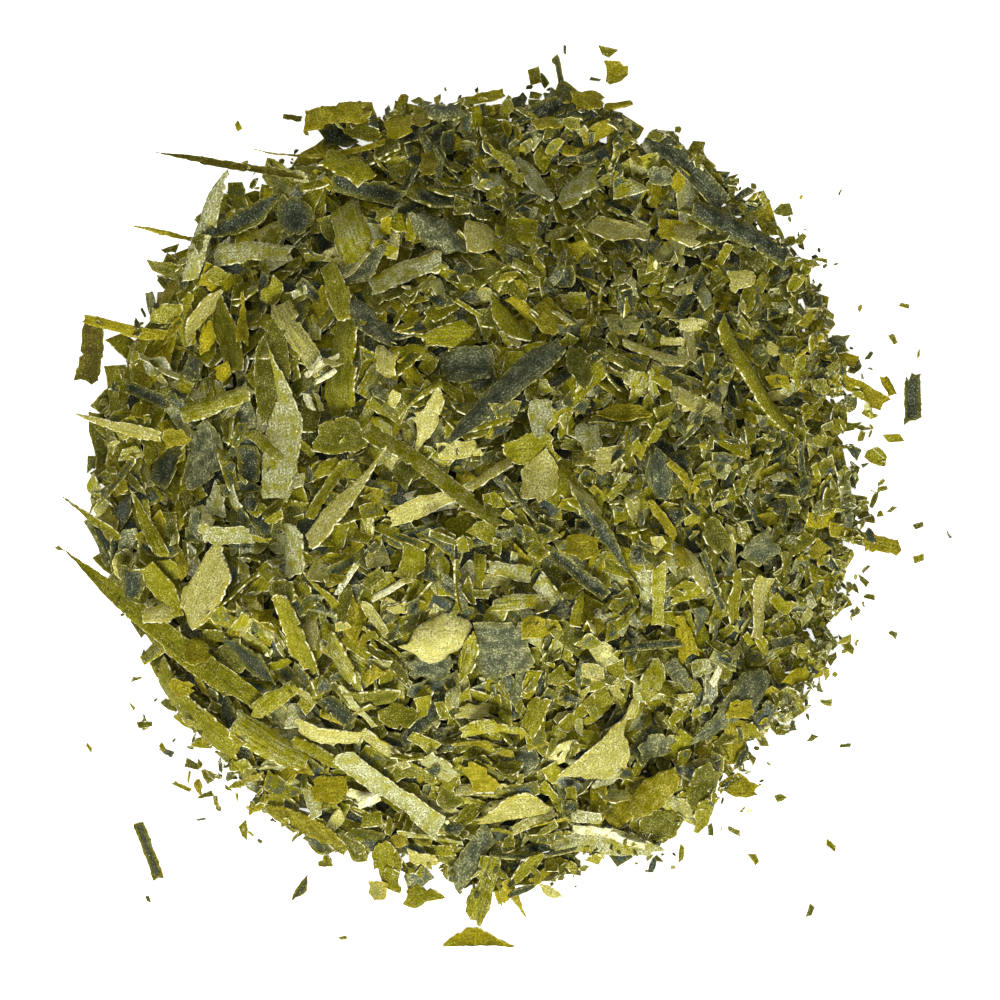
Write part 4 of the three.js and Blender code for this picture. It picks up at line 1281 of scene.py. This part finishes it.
def crumb_shapes():
    """A few small ragged plates, each one millimetre across."""
    kept = bpy.data.collections.new("crumb shapes")
    draw = np.random.default_rng(CRUMB_SHAPE_SEED)
    turn = crumb_ring()
    ring = list(range(CRUMB_SIDES))
    for number in range(CRUMB_SHAPES):
        reach = draw.uniform(*CRUMB_REACH, CRUMB_SIDES)
        slim = draw.uniform(*CRUMB_SLIM)
        rise = draw.normal(0, CRUMB_RISE, CRUMB_SIDES)
        flat = np.stack([reach * np.cos(turn), slim * reach * np.sin(turn), rise], 1)
        points = np.concatenate([flat + (0, 0, CRUMB_TOP), flat + (0, 0, CRUMB_UNDER)]) * MM
        faces = [ring, [CRUMB_SIDES + k for k in reversed(ring)]]
        for k in ring:
            after = (k + 1) % CRUMB_SIDES
            faces.append([CRUMB_SIDES + k, CRUMB_SIDES + after, after, k])
        mesh = bpy.data.meshes.new(f"crumb {number}")
        mesh.from_pydata(points, [], faces)
        kept.objects.link(bpy.data.objects.new(f"crumb {number}", mesh))
    return kept


def crumb_tree():
    """Scatters crumbs over a surface, more where its 'crumbs' attribute is higher. Also returns the
    identifiers of its inputs by name."""
    tree = bpy.data.node_groups.new("crumb scatter", "GeometryNodeTree")
    sockets = {}
    inputs = {
        "Surface": "Geometry", "Shapes": "Collection", "Crumbs per Square Metre": "Float",
        "Smallest": "Float", "Largest": "Float", "Seed": "Int", "Material": "Material",
    }
    for name, kind in inputs.items():
        made = tree.interface.new_socket(name, in_out="INPUT", socket_type="NodeSocket" + kind)
        sockets[name] = made.identifier
    tree.interface.new_socket("Crumbs", in_out="OUTPUT", socket_type="NodeSocketGeometry")
    given = tree.nodes.new("NodeGroupInput").outputs
    share = node(tree, "GeometryNodeInputNamedAttribute", {"Name": "crumbs"}, data_type="FLOAT")
    density = maths(tree, "MULTIPLY", share.outputs["Attribute"], given["Crumbs per Square Metre"])
    spots = node(tree, "GeometryNodeDistributePointsOnFaces", {
        "Mesh": given["Surface"], "Density": density, "Seed": given["Seed"]}).outputs
    lean = {0: (-CRUMB_LEAN, -CRUMB_LEAN, 0), 1: (CRUMB_LEAN, CRUMB_LEAN, 2 * math.pi), "Seed": given["Seed"]}
    turned = node(tree, "FunctionNodeRandomValue", lean, data_type="FLOAT_VECTOR").outputs[0]
    turned = node(tree, "FunctionNodeEulerToRotation", {0: turned}).outputs[0]
    turned = {0: spots["Rotation"], 1: turned}
    turned = node(tree, "FunctionNodeRotateRotation", turned, rotation_space="LOCAL").outputs[0]
    sizes = {2: given["Smallest"], 3: given["Largest"], "Seed": given["Seed"]}
    size = node(tree, "FunctionNodeRandomValue", sizes, data_type="FLOAT").outputs[1]
    shapes = node(tree, "GeometryNodeCollectionInfo", {
        "Collection": given["Shapes"], "Separate Children": True, "Reset Children": True}).outputs[0]
    laid = node(tree, "GeometryNodeInstanceOnPoints", {
        "Points": spots["Points"], "Instance": shapes, "Pick Instance": True,
        "Rotation": turned, "Scale": size})
    tone = node(tree, "FunctionNodeRandomValue", {"Seed": CRUMB_TONE_SEED}, data_type="FLOAT").outputs[1]
    toned = node(tree, "GeometryNodeStoreNamedAttribute", {"Geometry": laid.outputs[0], "Name": "tone"},
                 data_type="FLOAT", domain="INSTANCE")
    tree.links.new(tone, next(s for s in toned.inputs if s.name == "Value" and s.enabled))
    real = node(tree, "GeometryNodeRealizeInstances", {"Geometry": toned.outputs[0]})
    dressed = {"Geometry": real.outputs[0], "Material": given["Material"]}
    dressed = node(tree, "GeometryNodeSetMaterial", dressed).outputs[0]
    node(tree, "NodeGroupOutput", {"Crumbs": dressed})
    return tree, sockets


def crumb_material():
    """Kelp crumbs, each of one tone with a fine grit."""
    material, tree, inputs = new_material("crumb kelp", CRUMB_ROUGHNESS, CRUMB_GLOSS)
    colour = ramp_colour(tree, attribute(tree, "tone"), CRUMB_RAMP)
    where = node(tree, "ShaderNodeTexCoord").outputs["Object"]
    links = {"Vector": where, "Scale": CRUMB_GRIT, "Detail": 2.0}
    grit = node(tree, "ShaderNodeTexNoise", links).outputs["Fac"]
    colour = shaded_colour(tree, colour, maths(tree, "MULTIPLY_ADD", grit, 1.6, 0.2))
    tree.links.new(colour, inputs["Base Color"])
    return material


def smoothed(values, reach):
    """Values blurred over a square of cells."""
    for way in (0, 1):
        padded = np.pad(values, [(reach + 1, reach) if k == way else (0, 0) for k in (0, 1)], mode="edge")
        run = np.cumsum(padded, way)
        values = (np.take(run, range(2 * reach + 1, run.shape[way]), way)
                  - np.take(run, range(run.shape[way] - 2 * reach - 1), way)) / (2 * reach + 1)
    return values


def heap_surface():
    """The tops of the flakes as they lie, and the floor round them, with how thick the crumbs lie there."""
    height = ground[::SURFACE_STEP, ::SURFACE_STEP]
    x, y = np.meshgrid(axis[::SURFACE_STEP], axis[::SURFACE_STEP])
    rise = np.hypot(*np.gradient(height, CELL * SURFACE_STEP))
    hollow = smoothed(height, HOLLOW_REACH) - height
    turn = np.arctan2(y, x)
    out = np.hypot(x, y) - foot_radius(turn)
    on_heap = np.exp(-((rise / CRUMB_SLOPE) ** 2))
    on_heap *= (LEVEL_CRUMBS + HOLLOW_CRUMBS * hollow).clip(*CRUMB_RANGE)
    on_heap *= COARSE_CRUMBS + fineness(x, y)
    on_heap *= np.where(kept_clear[::SURFACE_STEP, ::SURFACE_STEP], NOTABLE_CRUMBS, 1)
    on_floor = FLOOR_CRUMBS * np.exp(-((out + FLOOR_START).clip(0) / FLOOR_FADE))
    on_floor = on_floor * (1 + FLOOR_SIDE * np.cos(turn + FLOOR_SIDE_TURN)) * (out < FLOOR_REACH)
    share = np.where(out < HEAP_EDGE, on_heap, on_floor)
    rows, columns = height.shape
    index = np.arange(rows * columns).reshape(rows, columns)
    faces = np.stack([index[:-1, :-1], index[:-1, 1:], index[1:, 1:], index[1:, :-1]], -1).reshape(-1, 4)
    mesh = quad_mesh("heap surface", np.stack([x, y, height], -1).reshape(-1, 3), faces)
    add_values(mesh, "crumbs", share.ravel())
    return mesh


def crumb_map(count):
    """A square of its own on the map for each crumb: its top, its underside and the wall round the top."""
    turn = crumb_ring()
    ring = np.stack([np.cos(turn), np.sin(turn)], 1) * CRUMB_SPOT_RADIUS
    top, under = ring + CRUMB_TOP_SPOT, ring + CRUMB_UNDER_SPOT
    after = np.roll(ring, -1, 0)
    wall = np.stack([ring * CRUMB_WALL_FLARE, after * CRUMB_WALL_FLARE, after, ring], 1) + CRUMB_TOP_SPOT
    one = np.concatenate([top, under[::-1], wall.reshape(-1, 2)])
    across = math.ceil(math.sqrt(count))
    corner = np.stack([np.arange(count) % across, np.arange(count) // across], 1)
    return (corner[:, None] + one) / across


def scattered_crumbs(material):
    """Fine crumbs over the heap and round its foot as one plain mesh. Those that dip below the floor are
    lifted."""
    tree, sockets = crumb_tree()
    surface = linked("heap surface", heap_surface())
    shapes = crumb_shapes()
    scatter = surface.modifiers.new("crumbs", "NODES")
    scatter.node_group = tree
    for name, value in {"Shapes": shapes, **CRUMB_INPUTS, "Material": material}.items():
        scatter[sockets[name]] = value
    mesh = bpy.data.meshes.new_from_object(surface.evaluated_get(bpy.context.evaluated_depsgraph_get()))
    mesh.name = "fine_crumbs"
    bpy.data.objects.remove(surface)
    for thing in list(shapes.objects):
        bpy.data.objects.remove(thing)
    bpy.data.collections.remove(shapes)
    points = np.empty(len(mesh.vertices) * 3, np.float32)
    mesh.vertices.foreach_get("co", points)
    points = points.reshape(-1, 2 * CRUMB_SIDES, 3)
    points[..., 2] += (-points[..., 2].min(1)).clip(0)[:, None]
    mesh.vertices.foreach_set("co", points.ravel())
    add_map(mesh, "OFBake", crumb_map(len(points)))
    return linked("fine_crumbs", mesh)


crumbs = scattered_crumbs(crumb_material())
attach(crumbs, "root")

half = FLOOR_SIZE / 2
corners = [(x, y, FLOOR_LEVEL) for x, y in ((-half, -half), (half, -half), (half, half), (-half, half))]
floor_mesh = bpy.data.meshes.new("floor")
floor_mesh.from_pydata(corners, [], [(0, 1, 2, 3)])
floor_paint, floor_inputs = plain_material("pale floor", FLOOR_COLOUR)
floor_inputs["Emission Color"].default_value = WHITE_LIGHT
floor_inputs["Emission Strength"].default_value = FLOOR_GLOW
floor_mesh.materials.append(floor_paint)
floor = linked("floor", floor_mesh)


def softbox(name, place, size, power):
    """A square light turned to the heap."""
    light = bpy.data.lights.new(name, "AREA")
    light.size = size
    light.energy = power
    thing = linked(name, light)
    thing.location = place
    thing.rotation_euler = (Vector(LIGHT_AIM) - Vector(place)).to_track_quat("-Z", "Y").to_euler()


for box in SOFTBOXES:
    softbox(*box)
world = bpy.data.worlds.new("studio")
world.use_nodes = True
sky = world.node_tree.nodes["Background"].inputs
sky["Color"].default_value = WHITE_LIGHT
sky["Strength"].default_value = SKY_STRENGTH
scene = bpy.context.scene
scene.world = world
scene.view_settings.view_transform = "Standard"
camera_data = bpy.data.cameras.new("camera")
camera_data.sensor_width = SENSOR_WIDTH
camera_data.lens = camera_data.sensor_width * (CAMERA_HEIGHT - FRAME_LEVEL) / FRAME_WIDTH
camera_data.clip_end = VIEW_END
camera = linked("camera", camera_data)
camera.location = CAMERA_PLACE
scene.camera = camera
